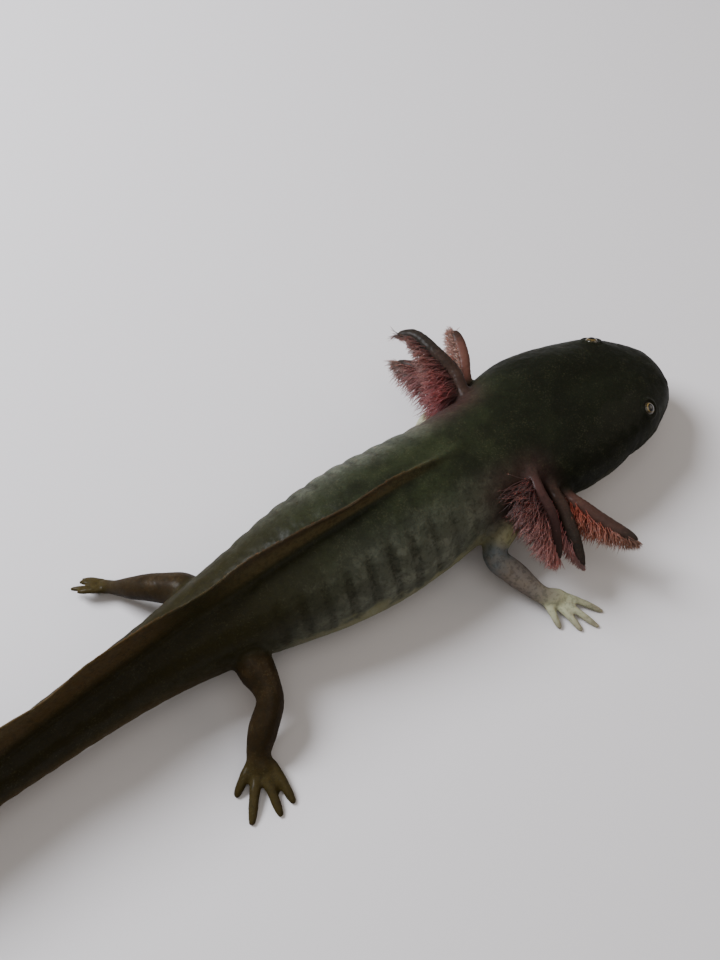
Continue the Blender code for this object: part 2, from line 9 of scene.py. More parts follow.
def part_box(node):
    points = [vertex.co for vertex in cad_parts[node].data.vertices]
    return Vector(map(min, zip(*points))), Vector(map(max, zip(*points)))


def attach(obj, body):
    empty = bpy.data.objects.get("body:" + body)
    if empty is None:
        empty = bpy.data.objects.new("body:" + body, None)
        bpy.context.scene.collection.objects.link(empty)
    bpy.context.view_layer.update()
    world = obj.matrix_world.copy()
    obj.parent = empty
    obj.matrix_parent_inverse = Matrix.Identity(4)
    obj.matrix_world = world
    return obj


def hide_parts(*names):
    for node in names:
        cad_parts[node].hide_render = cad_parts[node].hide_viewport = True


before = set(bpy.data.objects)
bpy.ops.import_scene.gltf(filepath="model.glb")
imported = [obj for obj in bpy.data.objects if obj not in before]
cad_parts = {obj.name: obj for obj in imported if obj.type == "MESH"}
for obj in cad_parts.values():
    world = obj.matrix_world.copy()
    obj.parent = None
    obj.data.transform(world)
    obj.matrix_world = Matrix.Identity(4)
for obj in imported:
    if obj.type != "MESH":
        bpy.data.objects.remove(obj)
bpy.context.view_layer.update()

# The body, from snout to tail tip
# An axolotl is bands of muscle over a light skeleton: a broad flat head, a round trunk, and a tail that
# flattens into a blade. Its outline is a row of cross-sections set square to a gently turning spine.
# Sizes are in millimetres, behind the snout, and a mesh gets them in metres.
MM = 0.001
TOTAL_LENGTH = 228.0
ORIGIN_AT = 80.0
SPINE_STEP = 0.5
SNOUT_TIP_HEIGHT = 9.2
# A section is a superellipse: at a power of 2 it is an ellipse, and above that its corners are fuller
FULLNESS = 2.25

# Distance, half width, height of the back, of the belly, and of the widest level
BODY = np.array([
    (0.4, 2.9, 11.5, 7.5, 9.6),
    (1.2, 5.0, 12.8, 6.9, 9.8),
    (2.5, 6.9, 13.9, 6.5, 10.0),
    (4.5, 8.9, 15.1, 6.1, 10.3),
    (7.5, 10.9, 16.6, 5.8, 10.8),
    (11.0, 13.0, 18.0, 5.6, 11.3),
    (15.0, 14.4, 19.2, 5.3, 11.7),
    (21.0, 15.8, 20.6, 4.9, 12.1),
    (27.0, 16.9, 21.6, 4.4, 12.4),
    (32.0, 17.3, 22.2, 4.0, 12.6),
    (38.0, 16.4, 22.8, 3.4, 12.6),
    (46.0, 13.8, 23.7, 2.0, 12.4),
    (56.0, 13.7, 24.6, 0.5, 12.1),
    (66.0, 14.6, 25.4, -0.4, 11.9),
    (78.0, 15.2, 25.8, -0.5, 11.8),
    (90.0, 14.2, 24.6, -0.4, 11.8),
    (100.0, 12.2, 23.1, 0.2, 11.7),
    (109.0, 10.2, 21.5, 1.2, 11.6),
    (117.0, 8.8, 20.6, 2.5, 11.5),
    (126.0, 7.5, 19.2, 3.8, 11.3),
    (138.0, 6.5, 17.7, 4.6, 11.1),
    (152.0, 5.8, 16.3, 5.1, 10.7),
    (170.0, 4.7, 14.7, 5.8, 10.2),
    (190.0, 3.4, 12.9, 6.5, 9.6),
    (210.0, 2.1, 11.1, 7.2, 9.1),
    (222.0, 1.1, 9.9, 7.9, 8.8),
    (227.4, 0.5, 9.2, 8.2, 8.7),
])
# Turn of the spine to the left, in degrees
TURN = np.array([(0, -6), (28, -2), (46, 1.5), (60, 1), (90, -1.7), (122, 1.3), (160, 5.6), (190, 9),
                 (228, 14)])


def cubic(t, width, ends, slopes):
    """The curve between two values with these slopes, at shares of the way."""
    return (
        (1 + 2 * t) * (1 - t) ** 2 * ends[0]
        + t * (1 - t) ** 2 * width * slopes[0]
        + t * t * (3 - 2 * t) * ends[1]
        + t * t * (t - 1) * width * slopes[1]
    )


def rounded(places, values, at):
    """Values between a table's rows, on a curve that is rounded but never beyond them."""
    places, values = np.asarray(places, float), np.asarray(values, float)
    width = np.diff(places)
    rise = np.diff(values) / width
    slope = np.concatenate([[rise[0]], np.zeros(len(rise) - 1), [rise[-1]]])
    same_way = rise[:-1] * rise[1:] > 0
    near, far = 2 * width[1:] + width[:-1], width[1:] + 2 * width[:-1]
    drag = near[same_way] / rise[:-1][same_way] + far[same_way] / rise[1:][same_way]
    slope[1:-1][same_way] = (near + far)[same_way] / drag
    at = np.clip(np.asarray(at, float), places[0], places[-1])
    i = np.clip(np.searchsorted(places, at, side="right") - 1, 0, len(width) - 1)
    t = (at - places[i]) / width[i]
    return cubic(t, width[i], (values[i], values[i + 1]), (slope[i], slope[i + 1]))


def lay_spine():
    """Distance behind the snout, X, Y and heading of the spine, sampled along its length."""
    at = np.arange(0, TOTAL_LENGTH + SPINE_STEP, SPINE_STEP)
    heading = np.radians(rounded(TURN[:, 0], TURN[:, 1], at))
    x = -np.concatenate([[0], np.cumsum(np.cos(heading[:-1]) * SPINE_STEP)])
    y = -np.concatenate([[0], np.cumsum(np.sin(heading[:-1]) * SPINE_STEP)])
    return at, x - np.interp(ORIGIN_AT, at, x), y - np.interp(ORIGIN_AT, at, y), heading


SPINE = lay_spine()


def beside_spine(at, side, height):
    """Points at a distance behind the snout, to the left of the spine, at a height."""
    x, y, heading = (np.interp(at, SPINE[0], column) for column in SPINE[1:])
    return np.stack([x - np.sin(heading) * side, y + np.cos(heading) * side, height + 0.0 * side], axis=-1)


def section(at):
    """Half width and heights of the back, the belly and the widest level."""
    return [rounded(BODY[:, 0], BODY[:, column], at) for column in range(1, 5)]


def body_point(at, degrees):
    """Points of the body's surface. 0 degrees is the left side, 90 the back and -90 the belly."""
    half, back, belly, widest = section(at)
    across, up = np.cos(np.radians(degrees)), np.sin(np.radians(degrees))
    reach = np.where(up > 0, back - widest, widest - belly)
    side = np.sign(across) * np.abs(across) ** (2 / FULLNESS) * half
    height = widest + np.sign(up) * np.abs(up) ** (2 / FULLNESS) * reach
    return beside_spine(at, side, np.maximum(height, 0.0))


def unit(way):
    """A direction, at length 1."""
    return way / np.linalg.norm(way)


def body_normal(at, degrees):
    """The way out of the body's surface at a point."""
    along = body_point(at + 0.5, degrees) - body_point(at - 0.5, degrees)
    around = body_point(at, degrees + 3) - body_point(at, degrees - 3)
    out = unit(np.cross(along, around))
    middle = beside_spine(at, 0.0, section(at)[3])
    return out if out @ (body_point(at, degrees) - middle) > 0 else -out


def closed(rings, first_tip=None, last_tip=None):
    """A closed surface over rings of equal count, with flat ends or with tips: its points and faces."""
    count = len(rings[0])
    points = [p for ring in rings for p in ring]
    faces = []
    for i in range(len(rings) - 1):
        for j in range(count):
            k = (j + 1) % count
            faces.append((i * count + j, i * count + k, (i + 1) * count + k, (i + 1) * count + j))
    last = (len(rings) - 1) * count
    if first_tip is None:
        faces.append(tuple(range(count))[::-1])
    else:
        points.append(first_tip)
        faces += [((j + 1) % count, j, len(points) - 1) for j in range(count)]
    if last_tip is None:
        faces.append(tuple(range(last, last + count)))
    else:
        points.append(last_tip)
        faces += [(last + j, last + (j + 1) % count, len(points) - 1) for j in range(count)]
    return np.array(points), faces


def joined(pieces):
    """The points and the faces of several surfaces as those of one."""
    starts = np.cumsum([0] + [len(points) for points, _ in pieces])
    faces = [tuple(int(start) + v for v in face) for start, (_, own) in zip(starts, pieces) for face in own]
    return np.concatenate([points for points, _ in pieces]), faces


BODY_RING = np.arange(0, 360, 3.0)
# Rings lie closest together at the snout, where the outline turns most
BODY_STATIONS = np.concatenate([[0.4, 0.6, 0.9], np.arange(1.3, 227.0, 0.8), [227.4]])
flesh = [closed(
    [body_point(np.full(BODY_RING.shape, at), BODY_RING) for at in BODY_STATIONS],
    beside_spine(0.25, 0.0, SNOUT_TIP_HEIGHT),
    beside_spine(TOTAL_LENGTH, 0.0, section(TOTAL_LENGTH)[3]),
)]

# The fins on the back and round the tail
# Low folds of skin, thick where they leave the flesh and thin at the edge, with no rays in them. They
# rise out of the back behind the neck, and hang a little slack, so the edge runs in slow waves.
# Height above or below the flesh, at distances behind the snout
UPPER_FIN = np.array([(54, 0.5), (64, 1.6), (80, 2.9), (100, 5.2), (121, 7.0), (142, 9.0), (165, 9.2),
                      (187, 7.6), (206, 5.2), (220, 2.2), (227, 0.6)])
LOWER_FIN = np.array([(124, 0.5), (134, 2.0), (150, 3.9), (170, 4.9), (190, 5.0), (206, 4.0), (220, 2.0),
                      (227, 0.6)])
FIN_ROOT = 2.1
FIN_EDGE = 0.6
FIN_SUNK = 1.6
FIN_STEP = 0.7
# How much faster than in a straight taper the fin thins out above its root
FIN_TAPER = 1.7
FIN_WAVE = 0.45
FIN_WAVE_LENGTHS = (31.0, 17.0)


def fin_lean(at, share):
    """How far the fin stands to the left here: nothing at its root, most at its edge."""
    slow, quick = (np.sin(2 * math.pi * at / length) for length in FIN_WAVE_LENGTHS)
    return FIN_WAVE * share ** 2 * (slow + 0.4 * quick)


def fin_blade(table, upward):
    """A fin from its table of heights, as a closed surface that starts a little inside the flesh."""
    rings = []
    way = 1 if upward else -1
    for at in np.arange(table[0, 0], table[-1, 0], FIN_STEP):
        half, back, belly, _ = section(at)
        foot = back if upward else belly
        height = rounded(table[:, 0], table[:, 1], at)
        root = min(FIN_ROOT, half * 1.1) / 2
        edge = min(FIN_EDGE / 2, root)
        share = np.concatenate([[-FIN_SUNK / height], np.linspace(0, 0.97, 12), [1.0]])
        upright = np.clip(share, 0, 1)
        thick = edge + (root - edge) * (1 - upright) ** FIN_TAPER
        thick[-1] *= 0.5
        lean = fin_lean(at, upright)
        level = foot + way * height * share
        left = beside_spine(np.full(share.shape, at), lean + thick, level)
        right = beside_spine(np.full(share.shape, at), lean - thick, level)
        rings.append(np.concatenate([left, right[::-1]]))
    return closed(rings)


flesh += [fin_blade(UPPER_FIN, True), fin_blade(LOWER_FIN, False)]

# The four legs
# Short soft limbs with a shoulder or hip, one bend and a wrist or ankle, then a flat palm with four
# fingers in front and five toes behind. They have no claws, and the skin of the tips is thin.
LEGS = {
    "front_right": {
        "line": [(29.5, -6.0, 11.0), (27.4, -13.0, 11.0), (21.8, -17.2, 8.6), (23.6, -21.9, 6.0),
                 (26.5, -28.3, 3.2), (29.4, -30.5, 1.8)],
        "girth": [(3.3, 3.4), (3.1, 3.2), (2.6, 2.6), (2.6, 2.4), (1.9, 1.7), (2.1, 1.3)],
        "tips": [(25.8, -35.5, 0.2), (29.2, -38.5, 0.2), (32.6, -39.8, 0.2), (35.6, -37.6, 0.2)],
        "digit": 0.88,
    },
    "front_left": {
        "line": [(30.0, 5.5, 8.8), (28.0, 10.4, 7.0), (24.6, 14.6, 5.0), (26.0, 17.6, 3.8),
                 (29.4, 18.8, 2.6), (32.2, 19.2, 1.8)],
        "girth": [(2.9, 3.0), (2.7, 2.8), (2.2, 2.2), (2.1, 2.0), (1.8, 1.6), (2.1, 1.3)],
        "tips": [(35.0, 23.4, 0.2), (38.6, 22.4, 0.2), (40.0, 19.2, 0.2), (38.0, 16.2, 0.2)],
        "digit": 0.88,
    },
    "hind_right": {
        "line": [(-31.5, -4.0, 10.0), (-31.6, -11.1, 10.0), (-32.5, -17.4, 8.4), (-36.6, -21.0, 5.8),
                 (-39.5, -23.8, 3.2), (-40.3, -26.6, 1.8)],
        "girth": [(3.6, 3.7), (3.3, 3.5), (2.7, 2.8), (2.9, 2.6), (2.4, 1.8), (2.7, 1.4)],
        "tips": [(-47.2, -27.5, 0.2), (-47.5, -33.8, 0.2), (-42.0, -35.6, 0.2), (-40.4, -31.6, 0.2),
                 (-38.6, -34.8, 0.2)],
        "digit": 1.15,
    },
    "hind_left": {
        "line": [(-33.0, 3.0, 10.0), (-34.7, 10.6, 9.8), (-38.9, 15.9, 8.0), (-42.7, 19.8, 5.6),
                 (-45.3, 23.1, 3.2), (-46.8, 25.3, 2.0)],
        "girth": [(3.6, 3.7), (3.4, 3.4), (3.0, 2.8), (2.3, 2.3), (1.5, 1.6), (1.3, 1.2)],
        "tips": [(-49.0, 29.8, 0.3), (-49.8, 29.8, 0.9), (-50.6, 29.3, 1.5), (-53.0, 28.6, 2.1),
                 (-52.2, 26.9, 2.7)],
        "digit": 0.75,
    },
}
# A digit's half thickness at shares of its length, times its leg's "digit". It swells at each joint
DIGIT = np.array([(0.0, 1.05), (0.25, 0.92), (0.38, 0.9), (0.55, 0.77), (0.66, 0.75), (0.88, 0.58),
                  (0.97, 0.4)])
DIGIT_FLATNESS = 1.12
DIGIT_ROOT_HEIGHT = 1.15
# A digit whose tip is off the floor, as on a foot that leans on its edge, has a higher root as well
ROOT_LIFT = 0.3
DIGIT_ARCH = 0.4
DIGIT_BOW = 0.15
# How far the digits' roots spread across the palm, and how far back towards the wrist they spring. The
# first one springs close to the wrist, like a thumb
PALM_SPREAD = 0.62
PALM_OVERLAP = 0.35
FIRST_SPREAD = 0.5
FIRST_OVERLAP = 0.8
# Past the knuckles the palm runs on as a web: how far, how high, and its half width and thickness
WEB_REACH = 1.1
WEB_HEIGHT = 1.0
WEB_SIZE = (0.66, 0.55)
# The shoulder or hip spreads where it meets the trunk: by what share, and over what length
SHOULDER_SPREAD = 0.16
SHOULDER_LENGTH = 3.0
LEG_SIDES = 28
DIGIT_SIDES = 16


def path_through(points, spacing=0.25):
    """A rounded curve through points: the length to each of its own points, and those points."""
    points = np.array(points, float)
    steps = np.linalg.norm(np.diff(points, axis=0), axis=1)
    reach = np.concatenate([[0], np.cumsum(steps ** 0.5)])
    fine = np.linspace(0, reach[-1], max(12, int(steps.sum() / spacing)))
    tangent = np.gradient(points, reach, axis=0)
    i = np.clip(np.searchsorted(reach, fine, side="right") - 1, 0, len(points) - 2)
    width = (reach[i + 1] - reach[i])[:, None]
    t = (fine - reach[i])[:, None] / width
    curve = cubic(t, width, (points[i], points[i + 1]), (tangent[i], tangent[i + 1]))
    length = np.concatenate([[0], np.cumsum(np.linalg.norm(np.diff(curve, axis=0), axis=1))])
    return length, curve


def along_path(path, at):
    """Points at lengths along a path."""
    return np.stack([np.interp(at, path[0], path[1][:, axis]) for axis in range(3)], axis=-1)


def tube(path, stations, sizes, count):
    """A closed tube along a path, with its half width and half thickness at each station."""
    end = path[0][-1]
    turn = np.linspace(0, 2 * math.pi, count, endpoint=False)[:, None]
    rings = []
    for at, (wide, thick) in zip(stations, sizes):
        way = unit(along_path(path, min(at + 0.4, end)) - along_path(path, max(at - 0.4, 0.0)))
        side = unit(np.cross((0, 0, 1), way))
        up = np.cross(way, side)
        rings.append(along_path(path, at) + side * wide * np.cos(turn) + up * thick * np.sin(turn))
    first = along_path(path, stations[0])
    last = along_path(path, stations[-1]) + way * min(sizes[-1]) * 0.55
    return closed(rings, first, last)


leg_paths = {}
digit_paths = []
for leg_name, leg in LEGS.items():
    line = np.array(leg["line"])
    girth = np.array(leg["girth"])
    onward = np.mean(leg["tips"], axis=0) - line[5]
    onward[2] = 0.0
    web = line[5] + unit(onward) * WEB_REACH
    web[2] = WEB_HEIGHT
    path = path_through([*line, web])
    joints = [float(path[0][np.argmin(np.linalg.norm(path[1] - p, axis=1))]) for p in line]
    stations = np.arange(0, path[0][-1], 0.5)
    joint_sizes = np.concatenate([girth, [girth[5] * WEB_SIZE]])
    sizes = np.stack([rounded([*joints, path[0][-1]], joint_sizes[:, k], stations) for k in (0, 1)], axis=1)
    sizes *= 1 + SHOULDER_SPREAD * np.exp(-((stations - joints[1]) / SHOULDER_LENGTH) ** 2)[:, None]
    flesh.append(tube(path, stations, sizes, LEG_SIDES))
    leg_paths[leg_name] = (path, joints)
    heel, knuckle = line[4], line[5]
    across = unit(np.cross((0, 0, 1), knuckle - heel))
    toward = np.sign(across @ (np.array(leg["tips"][-1]) - np.array(leg["tips"][0])))
    for i, tip in enumerate(leg["tips"]):
        share = i / (len(leg["tips"]) - 1) * 2 - 1
        spread, overlap = (PALM_SPREAD, PALM_OVERLAP) if i else (FIRST_SPREAD, FIRST_OVERLAP)
        root = knuckle + across * toward * share * girth[5, 0] * spread - (knuckle - heel) * overlap
        root[2] = DIGIT_ROOT_HEIGHT + ROOT_LIFT * tip[2] + (heel[2] - knuckle[2]) * overlap
        middle = (root + tip) / 2 + across * toward * share * DIGIT_BOW + np.array([0, 0, DIGIT_ARCH])
        path = path_through([root, middle, tip])
        stations = np.linspace(0, path[0][-1] * 0.97, 26)
        thick = rounded(DIGIT[:, 0], DIGIT[:, 1], stations / path[0][-1]) * leg["digit"]
        flesh.append(tube(path, stations, np.stack([thick * DIGIT_FLATNESS, thick], axis=1), DIGIT_SIDES))
        digit_paths.append(path)

# The gill stalks
# Three fleshy stalks leave the neck on each side and curve back and out. Each is muscle under skin,
# dark on top, and carries the filaments on its hind edge.
# A stalk's half width at shares of its length, up to where it is fullest. From there it runs out, with
# a soft shoulder, to its own half width at the tip
STALK_AT = (0.0, 0.35, 0.65, 0.85, 1.0)
STALK_GIRTH = (1.6, 1.55, 1.5)
STALK_SHOULDER = 0.12
STALK_SUNK = 3.0
STALK_FLATNESS = 0.9
STALK_SIDES = 20
# Where each leaves the neck, the points it curves through, and its half width at the tip. Its filaments
# lie back, down and along it, in rows that spread, and get shorter along it. The stalk is flushed with
# blood, in a warm or a cool red. The colours are those of the filaments' roots and tips, of those that
# grow nearest the neck, and of those nearest the stalk's tip, which reach past it by up to the tuft.
# Some stalks carry more rows on top, whose filaments have the cover's share of the others' length
GILLS = {
    "right_front": {
        "root": (40.0, 176), "through": [(41.3, -20.5, 13.8), (43.0, -25.5, 13.2), (46.5, -32.5, 12.0)],
        "tip": 0.8, "lie": (0.6, 0.7, 0.45), "spread": 1.6, "longest": 6.0, "shorter": 0.5, "tuft": 1.4,
        "cover": 0.0, "flush": 0.2, "warmth": 0.8, "colours": ("#6a2c1a", "#8c5946", "#7e3322", "#4f3d31"),
    },
    "right_middle": {
        "root": (42.5, 162), "through": [(37.0, -18.5, 15.6), (35.9, -23.4, 13.8), (34.6, -30.3, 10.0)],
        "tip": 0.4, "lie": (0.75, 0.6, 0.4), "spread": 1.0, "longest": 7.2, "shorter": 0.75, "tuft": 1.0,
        "cover": 0.0, "flush": 0.0, "warmth": 0.0, "colours": ("#743436", "#ac746f", "#883833", "#4f3c38"),
    },
    # The right rear gill's filaments nearest the neck are painted near black, as shade and dirt
    "right_rear": {
        "root": (45.4, 143), "through": [(33.4, -15.0, 19.2), (33.2, -18.8, 17.4), (31.0, -26.6, 11.0)],
        "tip": 0.5, "lie": (0.95, 0.1, 0.3), "spread": 1.7, "longest": 9.6, "shorter": 0.5, "tuft": 2.0,
        "cover": 0.0, "flush": 0.3, "warmth": 0.0, "colours": ("#38201d", "#784f4a", "#221713", "#8a5653"),
    },
    "left_front": {
        "root": (40.2, 2), "through": [(42.2, 20.5, 14.0), (44.4, 24.9, 15.0), (45.7, 29.5, 16.0)],
        "tip": 1.2, "lie": (0.8, 0.4, 0.3), "spread": 1.0, "longest": 4.4, "shorter": 0.35, "tuft": 1.2,
        "cover": 0.4, "flush": 0.6, "warmth": 1.0, "colours": ("#7d5148", "#b8998c", "#8c5a50", "#6a4c42"),
    },
    "left_middle": {
        "root": (43.2, 12), "through": [(37.0, 19.0, 15.0), (35.4, 23.6, 15.0), (31.6, 31.4, 13.4)],
        "tip": 0.5, "lie": (0.6, 0.85, 0.05), "spread": 1.0, "longest": 9.5, "shorter": 0.5, "tuft": 3.4,
        "cover": 0.6, "flush": 0.3, "warmth": 0.3, "colours": ("#4c2726", "#865856", "#652a2c", "#54443a"),
    },
    "left_rear": {
        "root": (44.0, 30), "through": [(37.2, 17.5, 19.3), (36.6, 24.5, 20.4), (35.6, 30.8, 20.3),
                                        (33.1, 33.8, 19.0)],
        "tip": 0.9, "lie": (0.95, 0.25, 0.15), "spread": 1.0, "longest": 9.0, "shorter": 0.9, "tuft": 2.2,
        "cover": 0.0, "flush": 0.0, "warmth": 0.0, "colours": ("#2a1d17", "#74504a", "#64292c", "#332b26"),
    },
}


def stalk_girth(share, tip):
    """A stalk's half width at a share of its length, with its very end rounded off."""
    full = STALK_GIRTH[-1]
    sizes = rounded(STALK_AT, (*STALK_GIRTH, (full + tip) / 2 + STALK_SHOULDER, tip), share)
    return sizes * (1 - np.asarray(share) ** 24) ** 0.5


stalk_paths = {}
for gill_name, gill in GILLS.items():
    through = gill["through"]
    base = body_point(*gill["root"])
    inward = unit(base - np.array(through[0]))
    path = path_through([base + inward * STALK_SUNK, base, *through])
    stations = np.linspace(0, path[0][-1] * 0.985, 50)
    girth = stalk_girth(stations / path[0][-1], gill["tip"])
    flesh.append(tube(path, stations, np.stack([girth, girth * STALK_FLATNESS], axis=1), STALK_SIDES))
    stalk_paths[gill_name] = path

# The skin
# One thin, smooth, wet skin with no scales covers all of it, from the lips to the tips of the digits.
# It is drawn over the flesh in one piece, so that legs, fins and stalks grow out of it without a seam.
SKIN_STEP = 0.32
EYE_AT = 12.0
EYE_DEGREES = 42.0
EYE_RADIUS = 1.75
EYE_SUNK = 0.85


def eye_centre(degrees):
    """The middle of an eyeball, sunk in the head."""
    return body_point(EYE_AT, degrees) - body_normal(EYE_AT, degrees) * EYE_SUNK


# The solids' left eye tells where the design's zero lies in the frame
eye_low, eye_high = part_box("eye_left")
SHIFT = (np.array(eye_low) + np.array(eye_high)) / 2 / MM - eye_centre(EYE_DEGREES)


def shape(name, points, faces):
    """A smooth-shaded object of points in the design's millimetres."""
    mesh = bpy.data.meshes.new(name)
    mesh.from_pydata(((points + SHIFT) * MM).tolist(), [], faces)
    mesh.shade_smooth()
    made = bpy.data.objects.new(name, mesh)
    bpy.context.scene.collection.objects.link(made)
    return made


def read(items, label, width, kind=float):
    """A row of numbers from each of a mesh's points or edges."""
    flat = np.zeros(len(items) * width, kind)
    items.foreach_get(label, flat)
    return flat.reshape(-1, width)


def read_points(mesh):
    """A mesh's points in the design's millimetres."""
    return read(mesh.vertices, "co", 3) / MM - SHIFT


def write_points(mesh, points):
    """Moves a mesh's points to these, in the design's millimetres."""
    mesh.vertices.foreach_set("co", ((points + SHIFT) * MM).ravel())
    mesh.update()


points, faces = joined(flesh)
points[:, 2] = np.maximum(points[:, 2], 0.0)
skin = shape("skin", points, faces)
closing = skin.modifiers.new("one_surface", "REMESH")
closing.mode = "VOXEL"
closing.voxel_size = SKIN_STEP * MM
bpy.context.view_layer.update()
closed_mesh = bpy.data.meshes.new_from_object(skin.evaluated_get(bpy.context.evaluated_depsgraph_get()))
skin.modifiers.remove(closing)
skin.data = closed_mesh


def relax(points, edges, weight, rounds, back=0.0):
    """Draws each point towards the middle of its neighbours, then part of the way back."""
    count = len(points)
    first, second = edges[:, 0], edges[:, 1]
    shared = np.maximum(np.bincount(edges.ravel(), minlength=count), 1)[:, None]
    for _ in range(rounds):
        for pull in (0.5, -back) if back else (0.5,):
            middle = np.stack([
                np.bincount(first, points[second, k], count) + np.bincount(second, points[first, k], count)
                for k in range(3)
            ], axis=1) / shared
            points = points + (middle - points) * (pull * weight)[:, None]
    return points


def step(low, high, values):
    """0 below low, 1 above high, and rounded between."""
    t = np.clip((values - low) / (high - low), 0, 1)
    return t * t * (3 - 2 * t)


def bump(values, width):
    """A round hump, 1 at zero and gone within about two widths."""
    return np.exp(-(values / width) ** 2)


def find_on_body(points):
    """Where points lie: behind the snout, to the left, up, how far out, and at what angle."""
    at = np.interp(-points[:, 0], -SPINE[1], SPINE[0])
    for _ in range(3):
        x, y, heading = (np.interp(at, SPINE[0], column) for column in SPINE[1:])
        dx, dy = points[:, 0] - x, points[:, 1] - y
        at = np.clip(at - dx * np.cos(heading) - dy * np.sin(heading), 0, TOTAL_LENGTH)
    side = -dx * np.sin(heading) + dy * np.cos(heading)
    half, back, belly, widest = section(at)
    above = points[:, 2] - widest
    up = above / np.where(above > 0, back - widest, widest - belly)
    across = np.abs(side) / half
    out = (across ** FULLNESS + np.abs(up) ** FULLNESS) ** (1 / FULLNESS)
    angle = np.degrees(np.arctan2(np.sign(up) * np.abs(up) ** (FULLNESS / 2), across ** (FULLNESS / 2)))
    return at, side, out, angle


def near_path(points, curve, within):
    """Distance from each point to a curve, at most within, and the curve's nearest point."""
    distance = np.full(len(points), float(within))
    nearest = np.zeros(len(points), int)
    low, high = curve.min(0) - within, curve.max(0) + within
    chosen = np.nonzero(((points > low) & (points < high)).all(axis=1))[0]
    for first in range(0, len(chosen), 20000):
        some = chosen[first:first + 20000]
        apart = np.linalg.norm(points[some, None, :] - curve[None, ::2, :], axis=2)
        best = apart.argmin(axis=1)
        nearest[some] = best * 2
        distance[some] = np.minimum(apart[np.arange(len(some)), best], within)
    return distance, nearest


# First the voxels' small steps are smoothed out, and each root is drawn into a soft hollow. A hollow
# ends at these distances from the root's line, and at these depths inside and outside the flesh
LEG_HOLLOW = ((4.2, 7.0), (0.86, 0.97), (1.15, 1.5))
STALK_HOLLOW = ((2.6, 4.2), (0.88, 0.97), (1.1, 1.3))
STALK_ROOT_LENGTH = 9.0
PALM_REACH = 1.6
edges = read(skin.data.edges, "vertices", 2, int)
points = relax(read_points(skin.data), edges, np.ones(len(skin.data.vertices)), 8, 0.52)
at, side, out, angle = find_on_body(points)
root = np.zeros(len(points))
lines = [(path[1][path[0] < joints[2] + 3], LEG_HOLLOW) for path, joints in leg_paths.values()]
lines += [(path[1][path[0] < STALK_ROOT_LENGTH], STALK_HOLLOW) for path in stalk_paths.values()]
for line, (reach, inside, outside) in lines:
    distance, _ = near_path(points, line, reach[1])
    hollow = (1 - step(*reach, distance)) * step(*inside, out) * (1 - step(*outside, out))
    root = np.maximum(root, hollow)
points = relax(points, edges, root * 0.9, 45)
palm = np.zeros(len(points))
for leg_name, (path, joints) in leg_paths.items():
    wide = LEGS[leg_name]["girth"][5][0] * PALM_REACH
    distance, _ = near_path(points, path[1][path[0] > joints[4] - 1], 6.0)
    palm = np.maximum(palm, (1 - step(wide, wide + PALM_REACH, distance)) * (points[:, 2] > 0.25))
points = relax(points, edges, palm * 0.6, 7)
fin_root = bump(side, 2.6) * bump(out - 1.02, 0.13) * step(50, 60, at)
points = relax(points, edges, fin_root * 0.8, 16)
fin_front = bump(side, 3.0) * bump(at - 56, 7.0) * (points[:, 2] > 15)
points = relax(points, edges, fin_front * 0.9, 45)
write_points(skin.data, points)

# The head's skin is divided finer, for the lips, the nostrils and the rims of the eyes
MOUTH_DEGREES = -14.0
MOUTH_CORNER = 19.5
SNOUT_FRONT = 1.5
NOSTRIL_AT = 1.7
NOSTRIL_DEGREES = 42.0
nostrils = [body_point(NOSTRIL_AT, degrees) for degrees in (NOSTRIL_DEGREES, 180 - NOSTRIL_DEGREES)]
eyes = [body_point(EYE_AT, degrees) for degrees in (EYE_DEGREES, 180 - EYE_DEGREES)]
eye_ways = [body_normal(EYE_AT, degrees) for degrees in (EYE_DEGREES, 180 - EYE_DEGREES)]


def mouth_height(at):
    """The height of the line of the mouth, which turns up a little at its corner."""
    _, _, belly, widest = section(at)
    down = abs(math.sin(math.radians(MOUTH_DEGREES))) ** (2 / FULLNESS)
    return widest - down * (widest - belly) + 0.9 * step(13, MOUTH_CORNER, at)


def head_detail(points, at, out):
    """Which points of the head lie near its lips, nostrils or eyes."""
    found = (np.abs(points[:, 2] - mouth_height(at)) < 2.0) & (at < MOUTH_CORNER + 1.5)
    found &= (out > 0.85) | (at < SNOUT_FRONT)
    for centre in nostrils:
        found |= np.linalg.norm(points - centre, axis=1) < 1.7
    for centre in eyes:
        found |= np.linalg.norm(points - centre, axis=1) < 3.2
    return found


at, side, out, angle = find_on_body(points)
chosen = head_detail(points, at, out)
finer = bmesh.new()
finer.from_mesh(skin.data)
finer.verts.ensure_lookup_table()
cut = [e for e in finer.edges if chosen[e.verts[0].index] and chosen[e.verts[1].index]]
bmesh.ops.subdivide_edges(finer, edges=cut, cuts=1, use_grid_fill=True)
finer.to_mesh(skin.data)
finer.free()
skin.data.shade_smooth()
edges = read(skin.data.edges, "vertices", 2, int)
points = read_points(skin.data)
at, side, out, angle = find_on_body(points)
points = relax(points, edges, 0.8 * head_detail(points, at, out), 4, 0.5)
write_points(skin.data, points)

